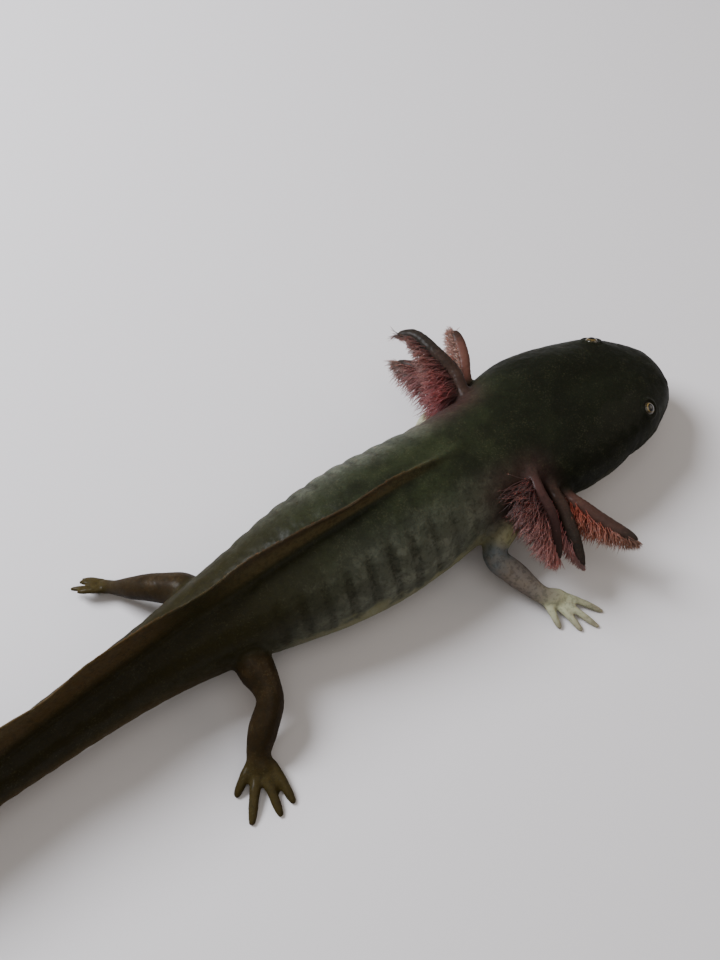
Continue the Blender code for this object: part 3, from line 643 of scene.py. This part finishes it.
# Where each part of the skin is, so that its forms and its markings know it
at, side, out, angle = find_on_body(points)
_, back_height, belly_height, _ = section(at)
fin_height = np.where(
    points[:, 2] > back_height,
    (points[:, 2] - back_height) / rounded(UPPER_FIN[:, 0], UPPER_FIN[:, 1], at),
    (belly_height - points[:, 2]) / rounded(LOWER_FIN[:, 0], LOWER_FIN[:, 1], at),
)
on_fin = (np.abs(side - fin_lean(at, np.clip(fin_height, 0, 1))) < 2.4) & (at > 52)
on_fin &= (points[:, 2] > back_height) | (at > 122)
fin = np.where(on_fin, np.clip(fin_height, 0, 1), 0.0)
leg, reach, knee = np.zeros((3, len(points)))
for path, joints in leg_paths.values():
    distance, nearest = near_path(points, path[1], 7.0)
    length = path[0][nearest]
    here = step(1.02, 1.22, out) * (distance < 5.5) * (length > 3)
    here = np.maximum(here, (distance < 4.4) * (length > joints[3]) * (out > 1.02))
    leg = np.maximum(leg, here)
    reach = np.where(here > 0, length / joints[-1], reach)
    knee = np.maximum(knee, here * bump(length - joints[2], 2.6))
for path in digit_paths:
    distance, nearest = near_path(points, path[1], 2.0)
    inside = (distance < 1.6) & (points[:, 2] < 4.0)
    leg = np.where(inside, 1.0, leg)
    reach = np.where(inside, np.maximum(reach, 1 + path[0][nearest] / path[0][-1]), reach)
leg, reach, knee = relax(np.stack([leg, reach, knee], axis=1), edges, 1.0 * (leg > 0), 30).T
stalk, stalk_reach, stalk_blush, stalk_warmth = np.zeros((4, len(points)))
for gill_name, path in stalk_paths.items():
    distance, nearest = near_path(points, path[1], 3.2)
    share = path[0][nearest] / path[0][-1]
    here = step(1.0, 1.14, out) * (distance < 2.9) * (at < 60)
    stalk_reach = np.where(here > stalk, share, stalk_reach)
    blush = GILLS[gill_name]["flush"] * step(0.1, 0.3, share) * (1 - 0.8 * step(0.74, 0.95, share))
    stalk_blush = np.where(here > stalk, blush, stalk_blush)
    stalk_warmth = np.where(here > stalk, GILLS[gill_name]["warmth"], stalk_warmth)
    stalk = np.maximum(stalk, here)
leg *= 1 - (stalk > 0.5)
trunk = (1 - leg) * (1 - stalk) * (1 - step(0.05, 0.3, fin))


def lumps(points, size, seed):
    """Soft noise from about -1 to 1, with lumps of this size."""
    return np.array([noise.noise(p) for p in (points / size + seed * 7.3).tolist()])


# Costal grooves between the ribs' muscles, and the swell of each fold between them. Each form's swell
# or depth is how far in mm it moves the skin out or in
GROOVE_FIRST = 56.0
GROOVE_PITCH = 4.8
GROOVE_COUNT = 11
GROOVE_DEPTH = 0.34
FOLD_SWELL = 0.07
slant = 0.9 * (np.clip(angle, -60, 60) / 60) ** 2 + 0.5 * lumps(points, 14.0, 1)
along_grooves = (at - GROOVE_FIRST + slant) / GROOVE_PITCH
off = (along_grooves - np.round(along_grooves)) * GROOVE_PITCH
counted = step(-0.6, 0.2, along_grooves) * (1 - step(GROOVE_COUNT - 0.8, GROOVE_COUNT + 0.2, along_grooves))
flank = step(-18, 6, angle) * (1 - step(40, 70, angle)) * trunk * counted
flank *= (0.8 + 0.5 * lumps(points, 9.0, 5)) * (0.3 + 0.7 * step(56, 80, at))
groove = bump(off, 1.0) * flank
move = -GROOVE_DEPTH * groove - FOLD_SWELL * flank * np.cos(2 * math.pi * off / GROOVE_PITCH)
# They get shallower towards the hips
move *= 1 - 0.55 * step(76, 96, at)

# The muscle of the tail shows as faint chevrons
CHEVRON_FIRST = 118.0
CHEVRON_PITCH = 4.2
CHEVRON_SLANT = 3.2
CHEVRON_DEPTH = 0.06
behind = (at - CHEVRON_FIRST + CHEVRON_SLANT * np.abs(angle) / 90) / CHEVRON_PITCH
chevron = bump((behind - np.round(behind)) * CHEVRON_PITCH, 0.9)
chevron *= step(116, 128, at) * (1 - step(180, 205, at)) * (1 - step(35, 60, np.abs(angle)))
move -= CHEVRON_DEPTH * chevron * trunk

# The head: cheeks behind the eyes, a shallow valley between them, and a mound under each eye
CHEEK_SWELL = 0.55
VALLEY_DEPTH = 0.35
MOUND_SWELL = 0.3
move += CHEEK_SWELL * bump(at - 24, 7) * bump(np.abs(side) - 7.5, 4.0) * step(20, 50, angle) * trunk
move -= VALLEY_DEPTH * bump(side, 2.2) * bump(at - 22, 9) * step(50, 75, angle) * trunk
move += MOUND_SWELL * bump(at - 25, 5) * bump(angle + 2, 16) * trunk

# The line of the mouth between its lips
over_mouth = points[:, 2] - mouth_height(at)
open_at = (1 - step(MOUTH_CORNER - 2.0, MOUTH_CORNER, at)) * trunk * ((out > 0.8) | (at < SNOUT_FRONT))
MOUTH_DEPTH = 0.62
UPPER_LIP_SWELL = 0.34
LOWER_LIP_SWELL = 0.22
CORNER_DEPTH = 0.25
move -= MOUTH_DEPTH * bump(over_mouth, 0.24) * open_at
move += UPPER_LIP_SWELL * bump(over_mouth - 0.85, 0.55) * open_at
move += LOWER_LIP_SWELL * bump(over_mouth + 0.95, 0.6) * open_at
move -= CORNER_DEPTH * bump(at - MOUTH_CORNER - 0.6, 0.7) * bump(over_mouth, 0.9) * trunk

# The nostrils' pits, and the rim of skin that hugs each lidless eye
NOSTRIL_DEPTH = 0.5
NOSTRIL_RIM_SWELL = 0.1
EYE_RIM_SWELL = 0.3
EYE_RIM_RADIUS = 1.95
SOCKET_DEPTH = 0.5
BROW_SWELL = 0.35
for centre in nostrils:
    away = np.linalg.norm(points - centre, axis=1)
    move += NOSTRIL_RIM_SWELL * bump(away - 0.75, 0.35) - NOSTRIL_DEPTH * bump(away, 0.3)
for centre, way in zip(eyes, eye_ways):
    offset = points - centre
    above_eye = offset @ way
    away = np.linalg.norm(offset - above_eye[:, None] * way, axis=1)
    # The head's other side lies below the eye as well, and is left out
    away += 9 * (np.abs(above_eye) > 4)
    move += EYE_RIM_SWELL * bump(away - EYE_RIM_RADIUS, 0.4)
    move += BROW_SWELL * bump(away, 3.4) - SOCKET_DEPTH * bump(away, 1.0)

# The fold of the throat, and slack skin where the neck meets the shoulder
THROAT_AT = 38.5
THROAT_DEPTH = 0.45
THROAT_SWELL = 0.15
CREASE_AT = 47.0
CREASE_PITCH = 2.1
CREASE_SWELL = 0.05
KNEE_CREASE_SWELL = 0.015
STALK_CREASE_SWELL = 0.03
throat = at - THROAT_AT - 2.2 * np.sin(np.radians(angle))
below = 1 - step(-30, 5, angle)
move += (THROAT_SWELL * bump(throat + 1.6, 1.1) - THROAT_DEPTH * bump(throat, 0.6)) * below * trunk
creases = np.sin(2 * math.pi * (at + 1.6 * lumps(points, 6.0, 2)) / CREASE_PITCH)
move += CREASE_SWELL * creases * bump(at - CREASE_AT, 5) * (1 - step(40, 70, angle)) * trunk
move += KNEE_CREASE_SWELL * np.sin(2 * math.pi * (reach * 26 + lumps(points, 3.0, 6))) * knee
move += STALK_CREASE_SWELL * np.sin(2 * math.pi * (stalk_reach * 15 + lumps(points, 2.5, 7))) * stalk

# A fine uneven grain over everything, lighter on the digits and fins
GRAIN_SWELL = 0.06
FINE_GRAIN_SWELL = 0.035
calm = np.clip(1 - 0.6 * (leg > 0.5) - 0.5 * (fin > 0.1) - 0.4 * (stalk > 0.5), 0.3, 1)
move += (GRAIN_SWELL * lumps(points, 1.9, 3) + FINE_GRAIN_SWELL * lumps(points, 0.8, 4)) * calm
points = points + read(skin.data.vertex_normals, "vector", 3) * move[:, None]
points[:, 2] = np.maximum(points[:, 2], 0.0)
write_points(skin.data, points)

# What the skin's colours go by, kept with each point of it
kept_values = {
    "behind_snout": at / TOTAL_LENGTH, "level": angle / 90, "fin": fin, "leg": leg, "leg_reach": reach,
    "stalk": stalk, "stalk_reach": stalk_reach, "stalk_blush": stalk_blush, "stalk_warmth": stalk_warmth,
    "costal_groove": groove,
}


def keep_values(mesh, values):
    """Keeps named values with each point of a mesh."""
    for label, numbers in values.items():
        kept = mesh.attributes.new(label, "FLOAT", "POINT")
        kept.data.foreach_set("value", numbers.astype(np.float32))


keep_values(skin.data, kept_values)


def linear(code):
    """A colour's sRGB hex value as linear light."""
    parts = [int(code[i:i + 2], 16) / 255 for i in (1, 3, 5)]
    return (*(p / 12.92 if p <= 0.04045 else ((p + 0.055) / 1.055) ** 2.4 for p in parts), 1.0)


def feed(tree, node, inputs):
    """Each of the node's inputs takes a value or another node's socket."""
    for name, value in inputs.items():
        if isinstance(value, bpy.types.NodeSocket):
            tree.links.new(value, node.inputs[name])
        else:
            node.inputs[name].default_value = value


def add(tree, kind, inputs, **settings):
    """A new node. Its settings come first, as some of them choose its inputs."""
    made = tree.nodes.new(kind)
    for name, value in settings.items():
        setattr(made, name, value)
    feed(tree, made, inputs)
    return made


def strength(tree, fields, masks):
    """The product of the masks. Each is a field as it is, or eased between two of its values, where it
    goes from 0 to 1 or between two strengths of its own."""
    product = None
    for field, *limits in masks:
        value = fields[field]
        if limits:
            inputs = dict(zip(("From Min", "From Max", "To Min", "To Max"), limits))
            inputs["Value"] = value
            value = add(tree, "ShaderNodeMapRange", inputs, interpolation_type="SMOOTHSTEP").outputs["Result"]
        if product is not None:
            value = add(tree, "ShaderNodeMath", {0: product, 1: value}, operation="MULTIPLY").outputs[0]
        product = value
    return product


def layered(tree, fields, under, layers):
    """A colour with layers of others over it. Each layer is a colour and the masks that say where it is."""
    for over, *masks in layers:
        over = linear(over) if isinstance(over, str) else over
        # Of a mix node's inputs, 0 is the strength, and 6 and 7 are the two colours
        inputs = {0: strength(tree, fields, masks), 6: under, 7: over}
        under = add(tree, "ShaderNodeMix", inputs, data_type="RGBA").outputs[2]
    return under


def start_material(name, kept, clouds):
    """A material's tree and shader, and the fields that its colours go by: values kept with the mesh, and
    clouds of noise with patches of a size in mm, a detail, a roughness and a warp, eased like a mask."""
    made = bpy.data.materials.new(name)
    made.use_nodes = True
    tree = made.node_tree
    fields = {"place": add(tree, "ShaderNodeTexCoord", {}).outputs["Object"]}
    for label in kept:
        fields[label] = add(tree, "ShaderNodeAttribute", {}, attribute_name=label).outputs["Fac"]
    for label, size, detail, rough, warp, *limits in clouds:
        inputs = {"Vector": fields["place"], "Scale": 1 / (size * MM), "Detail": detail,
                  "Roughness": rough, "Distortion": warp}
        fields[label] = add(tree, "ShaderNodeTexNoise", inputs).outputs["Fac"]
        fields[label] = strength(tree, fields, [(label, *limits)])
    return made, tree, tree.nodes["Principled BSDF"], fields


# Wet amphibian skin: a clear film of slime over a thin skin with pigment cells in it. The eye sees
# soft wide highlights, light that sinks in a little, and dark, olive and sandy cells in cloudy patches
wet_skin, tree, shader, fields = start_material("wet_amphibian_skin", kept_values, (
    ("ragged", 5.0, 4.0, 0.55, 0.0, 0.3, 0.7, -0.09, 0.09),
    ("blotches", 11.0, 4.0, 0.6, 0.4, 0.4, 0.64),
    ("patches", 3.6, 4.0, 0.6, 0.3, 0.42, 0.66),
    ("cells", 0.9, 3.0, 0.6, 0.0, 0.45, 0.65),
    ("grains", 0.35, 2.0, 0.5, 0.0, 0.5, 0.7),
    ("dullness", 2.4, 3.0, 0.55, 0.0, 0.35, 0.65, 0.6, 0.8),
    ("pimples", 0.4, 3.0, 0.55, 0.0),
))
# About how far apart in mm the places are that may have a pale speck, and the pores
FLECK_PITCH = 6.0
PORE_PITCH = 0.75
# The belly's edge goes by the level, made ragged
ragged = add(tree, "ShaderNodeMath", {0: fields["level"], 1: fields["ragged"]}, operation="ADD")
fields["ragged"] = ragged.outputs[0]
flecks = add(tree, "ShaderNodeTexVoronoi", {"Vector": fields["place"], "Scale": 1 / (FLECK_PITCH * MM)})
fields["from_fleck"], fields["fleck_draw"] = flecks.outputs["Distance"], flecks.outputs["Color"]

# The legs: brown behind, and in front cream at the shoulder, bluish at the elbow and mauve below it
hind = layered(tree, fields, linear("#23190b"), [
    ("#2d2111", ("patches",)),
    ("#352c14", ("leg_reach", 0.7, 1.3, 0.0, 0.85)),
])
limb = layered(tree, fields, linear("#817c5b"), [
    ("#545757", ("leg_reach", 0.34, 0.44)),
    ("#655c55", ("leg_reach", 0.48, 0.62)),
    ("#6b5f52", ("patches",), ("leg_reach", 0.2, 0.5, 0.3, 0.5)),
    ("#9d9c80", ("leg_reach", 0.74, 1.2)),
    ("#6d5f58", ("leg_reach", 1.4, 1.95, 0.0, 0.5)),
    (hind, ("behind_snout", 0.35, 0.4)),
])
# The stalks: dark on top, and flushed with blood
flushed = layered(tree, fields, linear("#5c3438"), [("#7a4c41", ("stalk_warmth",))])
stalk_top = layered(tree, fields, linear("#2f211b"), [
    ("#24201c", ("stalk_reach", 0.25, 0.8)),
    ("#46322d", ("patches",), ("cells", 0.0, 1.0, 0.15, 0.5)),
    (flushed, ("stalk_blush",), ("cells", 0.0, 1.0, 0.7, 0.95)),
])
CREST = (("behind_snout", 0.52, 0.43), ("behind_snout", 0.25, 0.35))
hide = layered(tree, fields, linear("#17190e"), [
    ("#222616", ("blotches",)),
    ("#393c28", ("patches",), ("level", 0.9, 0.1, 0.12, 0.5)),
    # Painted shadow: the head is darkened, as though a shadow were cast over it
    ("#0c0d06", ("behind_snout", 0.26, 0.12, 0.0, 0.85)),
    # The flanks are paler than the back
    ("#5b5c50", ("level", 0.85, 0.35), ("behind_snout", 0.2, 0.27), ("behind_snout", 0.5, 0.43),
     ("patches", 0.0, 1.0, 0.5, 0.85)),
    # Painted shade darkens the costal grooves between the flank's folds
    ("#1b1a10", ("costal_groove", 0.05, 0.6, 0.0, 0.65), ("cells", 0.0, 1.0, 0.7, 1.0)),
    # The belly is paler still, and palest along its edge
    ("#605c48", ("ragged", 0.06, -0.3), ("behind_snout", 0.03, 0.14), ("behind_snout", 0.6, 0.4),
     ("patches", 0.0, 1.0, 0.65, 0.85)),
    ("#7e7b5b", ("ragged", 0.03, -0.1), ("ragged", -0.42, -0.12, 0.2, 1.0), ("behind_snout", 0.21, 0.26),
     ("behind_snout", 0.49, 0.38), ("cells", 0.0, 1.0, 0.45, 0.8)),
    # The hips and the tail go from olive black to brown
    # Olive black over the top and upper flanks of the hips: partly their own colour, partly painted shade
    # where the hips fall away from the light
    ("#1f1d0d", ("level", -0.15, 0.45), ("behind_snout", 0.34, 0.45, 0.0, 0.85)),
    ("#221d0b", ("behind_snout", 0.42, 0.5), ("behind_snout", 0.62, 0.55, 0.25, 0.7)),
    ("#1c1605", ("behind_snout", 0.48, 0.62, 0.0, 0.8)),
    ("#46361c", ("level", 0.25, -0.3), ("behind_snout", 0.46, 0.6, 0.0, 0.8)),
    # Blood shows through the skin round the roots of the gills
    ("#42282a", ("behind_snout", 0.165, 0.2), ("behind_snout", 0.275, 0.225), ("level", 0.8, 0.4, 0.0, 0.5)),
    # The fins: olive brown at the foot and dark at the edge on the back, and brown round the tail
    ("#4b4029", *CREST, ("fin", 0.0, 0.25, 0.0, 0.8)),
    ("#2b2013", *CREST, ("fin", 0.5, 0.95, 0.0, 0.9)),
    ("#3c2d16", ("fin", 0.1, 0.5), ("behind_snout", 0.5, 0.58, 0.0, 0.8)),
    ("#443720", ("fin", 0.55, 0.95), ("behind_snout", 0.55, 0.7, 0.0, 0.6)),
    (limb, ("leg",)),
    (stalk_top, ("stalk",)),
    # Darker and paler cells over all of it, then a few pale specks on the trunk and tail
    ("#15140e", ("cells", 0.0, 1.0, 0.0, 0.3)),
    ("#87835f", ("grains", 0.0, 1.0, 0.0, 0.05), ("patches", 0.0, 1.0, 0.3, 1.0)),
    ("#a5a595", ("from_fleck", 0.035, 0.015), ("fleck_draw", 0.55, 0.6),
     ("behind_snout", 0.2, 0.3, 0.0, 0.7)),
])
pores = add(tree, "ShaderNodeTexVoronoi", {"Vector": fields["place"], "Scale": 1 / (PORE_PITCH * MM)})
relief = add(tree, "ShaderNodeMath", {0: pores.outputs["Distance"], 1: fields["pimples"]}, operation="ADD")
relief = {"Height": relief.outputs[0], "Strength": 0.45, "Distance": 0.07 * MM}
feed(tree, shader, {
    "Base Color": hide,
    "Roughness": fields["dullness"],
    "Normal": add(tree, "ShaderNodeBump", relief).outputs["Normal"],
    "Specular IOR Level": 0.05,
    "Subsurface Weight": strength(tree, fields, [("fin", 0.1, 0.5, 0.14, 0.3)]),
    "Subsurface Radius": (1.0, 0.5, 0.3),
    "Subsurface Scale": 1.1 * MM,
    "Coat Weight": 0.07,
    "Coat Roughness": 0.22,
})
skin.data.materials.clear()
skin.data.materials.append(wet_skin)

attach(skin, "root")
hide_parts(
    "head", "neck", "trunk", "hips", "tail_base", "tail_middle", "tail_tip", "back_fin",
    "tail_fin_upper", "tail_fin_lower", *(f"{leg}_{bone}" for leg in LEGS for bone in (
        ("upper_arm", "forearm", "hand") if leg.startswith("front") else ("thigh", "shank", "foot"))),
    *(f"gill_{gill}" for gill in GILLS),
)

# The gill filaments
# Soft threads of thin skin full of blood, in rows down the hind edge of each stalk. Each is fixed at
# its root only, tapers, droops and curls a little, and its tip is pale where the blood is thinnest.
FILAMENT_SEED = 11
FILAMENT_PITCH = 0.16
FILAMENT_FIRST = 3.5
FILAMENT_HALF = 0.125
FILAMENT_SIDES = 6
FILAMENT_BENDS = 9
TIP_THREADS = 16
# Near a stalk's tip its filaments are shorter by this share as well
SHORTER_AT_TIP = 0.6
# Each row's lift above the middle of the stalk's hind edge, and that of the rows on top
ROWS = (0.6, 0.4, 0.2, 0.0, -0.2, -0.4, -0.6)
TOP_ROWS = (1.2, 1.0, 0.8)
# The side of the square that each thread has on its unwrap
PATCH = 0.003

draw = np.random.RandomState(FILAMENT_SEED)


def filament(root, way, length, thick):
    """A thread from its root, in a drooping, slightly curling line that tapers to a point."""
    way = unit(way)
    side = unit(np.cross(way, (0.0, 0.0, 1.0)))
    curl, droop = draw.normal(0, 0.2), draw.uniform(0.05, 0.3)
    share = np.linspace(0, 1, FILAMENT_BENDS)[:, None]
    ripple = 0.03 * np.sin(share * draw.uniform(5, 9) + draw.uniform(0, 6))
    line = root + length * (way * share + side * (curl * share ** 2 + ripple * share))
    line[:, 2] -= length * droop * share[:, 0] ** 2
    up = np.cross(side, way)
    turn = np.linspace(0, 2 * math.pi, FILAMENT_SIDES, endpoint=False)
    size = thick * (1 - 0.25 * share - 0.5 * share ** 4)
    ring = np.cos(turn)[:, None] * side + 0.75 * np.sin(turn)[:, None] * up
    threads = line[:-1, None, :] + ring[None] * size[:-1, None, :]
    return closed(list(threads), line[0], line[-1])


for gill_name, gill in GILLS.items():
    path = stalk_paths[gill_name]
    end = path[0][-1]
    back, down, along = gill["lie"]
    root_colour, tip_colour, neck_colour, last_colour = gill["colours"]
    threads, roots = [], []
    rows = [(lift, 1.0) for lift in ROWS] + [(lift, gill["cover"]) for lift in TOP_ROWS if gill["cover"]]
    for row_number, (lift, size) in enumerate(rows):
        for here in np.arange(FILAMENT_FIRST + row_number * FILAMENT_PITCH / 4, end - 0.35, FILAMENT_PITCH):
            here += draw.uniform(-0.15, 0.15)
            share = min(here / end, 1.0)
            centre = along_path(path, here)
            forward = unit(along_path(path, min(here + 0.5, end)) - along_path(path, here - 0.5))
            way = np.array([-back, 0, -down + lift * gill["spread"]]) + forward * (along + 0.9 * share ** 3)
            way += draw.normal(0, 0.14, 3)
            length = gill["longest"] * (1 - gill["shorter"] * share) * (1 - SHORTER_AT_TIP * share ** 4)
            length *= size * draw.uniform(0.72, 1.08)
            length += stalk_girth(share, gill["tip"])
            thick = FILAMENT_HALF * (1 - 0.3 * share) * draw.uniform(0.85, 1.1)
            threads.append(filament(centre, way, length, thick))
            roots.append((share, (row_number + 0.5) / len(rows)))
    # A last tuft fans out round the stalk's tip
    for _ in range(TIP_THREADS):
        way = forward + np.array([-back, 0, -down]) * 0.5 + draw.normal(0, 0.35, 3)
        length = gill["tip"] + gill["tuft"] * draw.uniform(0.3, 1.0)
        centre = along_path(path, end - draw.uniform(0.3, 1.2))
        threads.append(filament(centre, way, length, FILAMENT_HALF * 0.7))
        roots.append((1.0, draw.uniform(0, 1)))
    fringe = shape("gill_fringe_" + gill_name, *joined(threads))
    one = np.concatenate([np.repeat(np.linspace(0, 0.9, FILAMENT_BENDS - 1), FILAMENT_SIDES), [0.0, 1.0]])
    thread_values = {
        "to_tip": np.tile(one, len(threads)),
        "own_shade": np.repeat(draw.uniform(0, 1, len(threads)), len(one)),
        "on_stalk": np.repeat([share for share, _ in roots], len(one)),
    }
    keep_values(fringe.data, thread_values)
    # On an unwrap of the stalk, along it and across its rows, each thread has a patch at its root's place
    patch = []
    for face in threads[0][1]:
        columns = [v % FILAMENT_SIDES for v in face if v < len(one) - 2]
        wraps = 0 in columns and FILAMENT_SIDES - 1 in columns
        for v in face:
            column = v % FILAMENT_SIDES if v < len(one) - 2 else columns[0]
            patch.append(((column or wraps * FILAMENT_SIDES) / FILAMENT_SIDES, one[v]))
    places = np.repeat(np.array(roots) * (1 - PATCH), len(patch), axis=0)
    unwrap = fringe.data.uv_layers.new(name="OFBake")
    unwrap.data.foreach_set("uv", (places + np.tile(patch, (len(threads), 1)) * PATCH).ravel())

    # Gill flesh: a wall one cell thick over blood. It looks wet and soft, red inside and pale at the tip
    flesh_red, tree, shader, fields = start_material(
        "blood_filled_gill_flesh_" + gill_name, thread_values, [("specks", 0.5, 2.0, 0.55, 0.0, 0.5, 0.65)])
    colour = layered(tree, fields, linear(root_colour), [
        (tip_colour, ("to_tip", 0.25, 1.0, 0.0, 0.85)),
        ("#5b2630", ("own_shade", 0.0, 1.0, 0.0, 0.25)),
        # Near the neck they are full of blood, save on the right rear gill, where painted shade and dirt
        # darken them there; towards the stalk's tip there is more pigment in them
        (neck_colour, ("on_stalk", 0.55, 0.2, 0.0, 0.85), ("to_tip", 0.25, 0.75, 0.15, 1.0)),
        (last_colour, ("on_stalk", 0.5, 0.92, 0.0, 0.8)),
        ("#3a2a2a", ("specks",), ("to_tip", 0.0, 0.7, 0.1, 0.25)),
    ])
    feed(tree, shader, {
        "Base Color": colour,
        "Roughness": 0.5,
        "Specular IOR Level": 0.3,
        "Subsurface Weight": 0.3,
        "Subsurface Radius": (1.0, 0.35, 0.25),
        "Subsurface Scale": 0.8 * MM,
        "Coat Weight": 0.1,
        "Coat Roughness": 0.25,
    })
    fringe.data.materials.append(flesh_red)
    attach(fringe, "root")
    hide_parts("gill_" + gill_name)

# The eyes
# Small round eyeballs with no lids, set half sunk in the skin: a clear cornea over a dark iris, with a
# thin ring of gold round the pupil. They are wet, so a small sharp highlight sits on each.
EYE_RINGS = 40
EYE_SIDES = 56
# The angle from the pupil's middle to the iris' edge, and where pupil and gold end as shares of it
IRIS_ANGLE = 1.2
PUPIL = 0.42
GOLD = 0.52
CORNEA_SWELL = 0.05

# Cornea and iris: the dark iris is flecked with gold at its inner edge, and the cornea over it is glossy
eye_wet, tree, shader, fields = start_material("wet_cornea_over_gold_ringed_iris", ["from_pupil"], (
    ("flecks", 0.25, 3.0, 0.55, 0.0, 0.45, 0.6, 0.1, 0.6),
    ("gilding", 0.4, 3.0, 0.55, 0.0, 0.35, 0.6, 0.35, 0.9),
))
iris = layered(tree, fields, linear("#17130b"), [
    ("#4a3d1e", ("flecks",)),
    ("#12100b", ("from_pupil", 0.75, 1.0)),
    ("#7a6231", ("from_pupil", GOLD + 0.04, GOLD - 0.03), ("gilding",)),
    ("#030303", ("from_pupil", PUPIL + 0.03, PUPIL - 0.01)),
])
feed(tree, shader, {
    "Base Color": iris,
    "Roughness": 0.25,
    "IOR": 1.376,
    "Coat Weight": 0.6,
    "Coat Roughness": 0.04,
})

for side_name, degrees in (("left", EYE_DEGREES), ("right", 180 - EYE_DEGREES)):
    centre = eye_centre(degrees)
    way = body_normal(EYE_AT, degrees)
    side = unit(np.cross(way, (0.0, 0.0, 1.0)))
    up = np.cross(side, way)
    turn = np.linspace(0, 2 * math.pi, EYE_SIDES, endpoint=False)[:, None]
    lean = np.linspace(0, math.pi, EYE_RINGS + 1)[1:-1]
    # The cornea stands a little out of the ball's round
    swell = 1 + CORNEA_SWELL * bump(lean, 0.7)
    around = side * np.cos(turn) + up * np.sin(turn)
    rings = [
        centre + EYE_RADIUS * r * (way * math.cos(a) + around * math.sin(a)) for a, r in zip(lean, swell)
    ]
    front, back = centre + way * EYE_RADIUS * (1 + CORNEA_SWELL), centre - way * EYE_RADIUS
    eye = shape("eyeball_" + side_name, *closed(rings, front, back))
    from_pupil = np.concatenate([np.repeat(lean, EYE_SIDES), [0.0, math.pi]]) / IRIS_ANGLE
    keep_values(eye.data, {"from_pupil": from_pupil})
    eye.data.materials.append(eye_wet)
    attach(eye, "root")
    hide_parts("eye_" + side_name)

# The floor, the light and the camera
# A plain pale board, one broad soft lamp from the animal's left and two weak ones that open the
# shadows, and a camera above and behind its right side.
FLOOR_HALF = 700.0
# A hair below the skin's lowest points, so that the two don't flicker
FLOOR_DROP = 0.02
board = bpy.data.meshes.new("floor")
corners = [(x * FLOOR_HALF * MM, y * FLOOR_HALF * MM, -FLOOR_DROP * MM) for x, y in (
    (-1, -1), (1, -1), (1, 1), (-1, 1))]
board.from_pydata(corners, [], [(0, 1, 2, 3)])
floor = bpy.data.objects.new("floor", board)
bpy.context.scene.collection.objects.link(floor)
painted = bpy.data.materials.new("matt_white_paint")
painted.use_nodes = True
tree = painted.node_tree
feed(tree, tree.nodes["Principled BSDF"], {"Base Color": linear("#cbc6c6"), "Roughness": 0.8})
board.materials.append(painted)

TARGET = np.array([12.2, 17.3, 0.0])


def aimed(name, data, azimuth, elevation, distance):
    """A lamp or camera that looks at the target: azimuth 0 is on the animal's right."""
    a, e = math.radians(azimuth), math.radians(elevation)
    out = np.array([math.sin(a) * math.cos(e), -math.cos(a) * math.cos(e), math.sin(e)])
    made = bpy.data.objects.new(name, data)
    made.location = ((TARGET + SHIFT + out * distance) * MM).tolist()
    made.rotation_euler = Vector(out).to_track_quat("Z", "Y").to_euler()
    bpy.context.scene.collection.objects.link(made)
    return made


for lamp_name, azimuth, elevation, distance, size, power, colour in (
    ("key_lamp", 212.0, 46.0, 620.0, 0.34, 8.6, "#eff4fc"),
    ("fill_lamp", -10.0, 66.0, 760.0, 0.8, 1.8, "#faf8f4"),
    ("low_lamp", 70.0, 30.0, 700.0, 0.5, 1.0, "#fff0e0"),
):
    lamp = bpy.data.lights.new(lamp_name, "AREA")
    lamp.shape = "DISK"
    lamp.size = size
    lamp.energy = power
    lamp.color = linear(colour)[:3]
    aimed(lamp_name, lamp, azimuth, elevation, distance)

world = bpy.data.worlds.new("studio")
world.use_nodes = True
tree = world.node_tree
feed(tree, tree.nodes["Background"], {"Color": linear("#e8e6e0"), "Strength": 0.32})
bpy.context.scene.world = world

CAMERA_AZIMUTH = -34.5
CAMERA_ELEVATION = 59.0
CAMERA_DISTANCE = 262.0
CAMERA_VIEW = 44.0
lens = bpy.data.cameras.new("photo_camera")
lens.sensor_width = 36.0
lens.lens = 18.0 / math.tan(math.radians(CAMERA_VIEW / 2))
lens.clip_start = 0.01
bpy.context.scene.camera = aimed("photo_camera", lens, CAMERA_AZIMUTH, CAMERA_ELEVATION, CAMERA_DISTANCE)
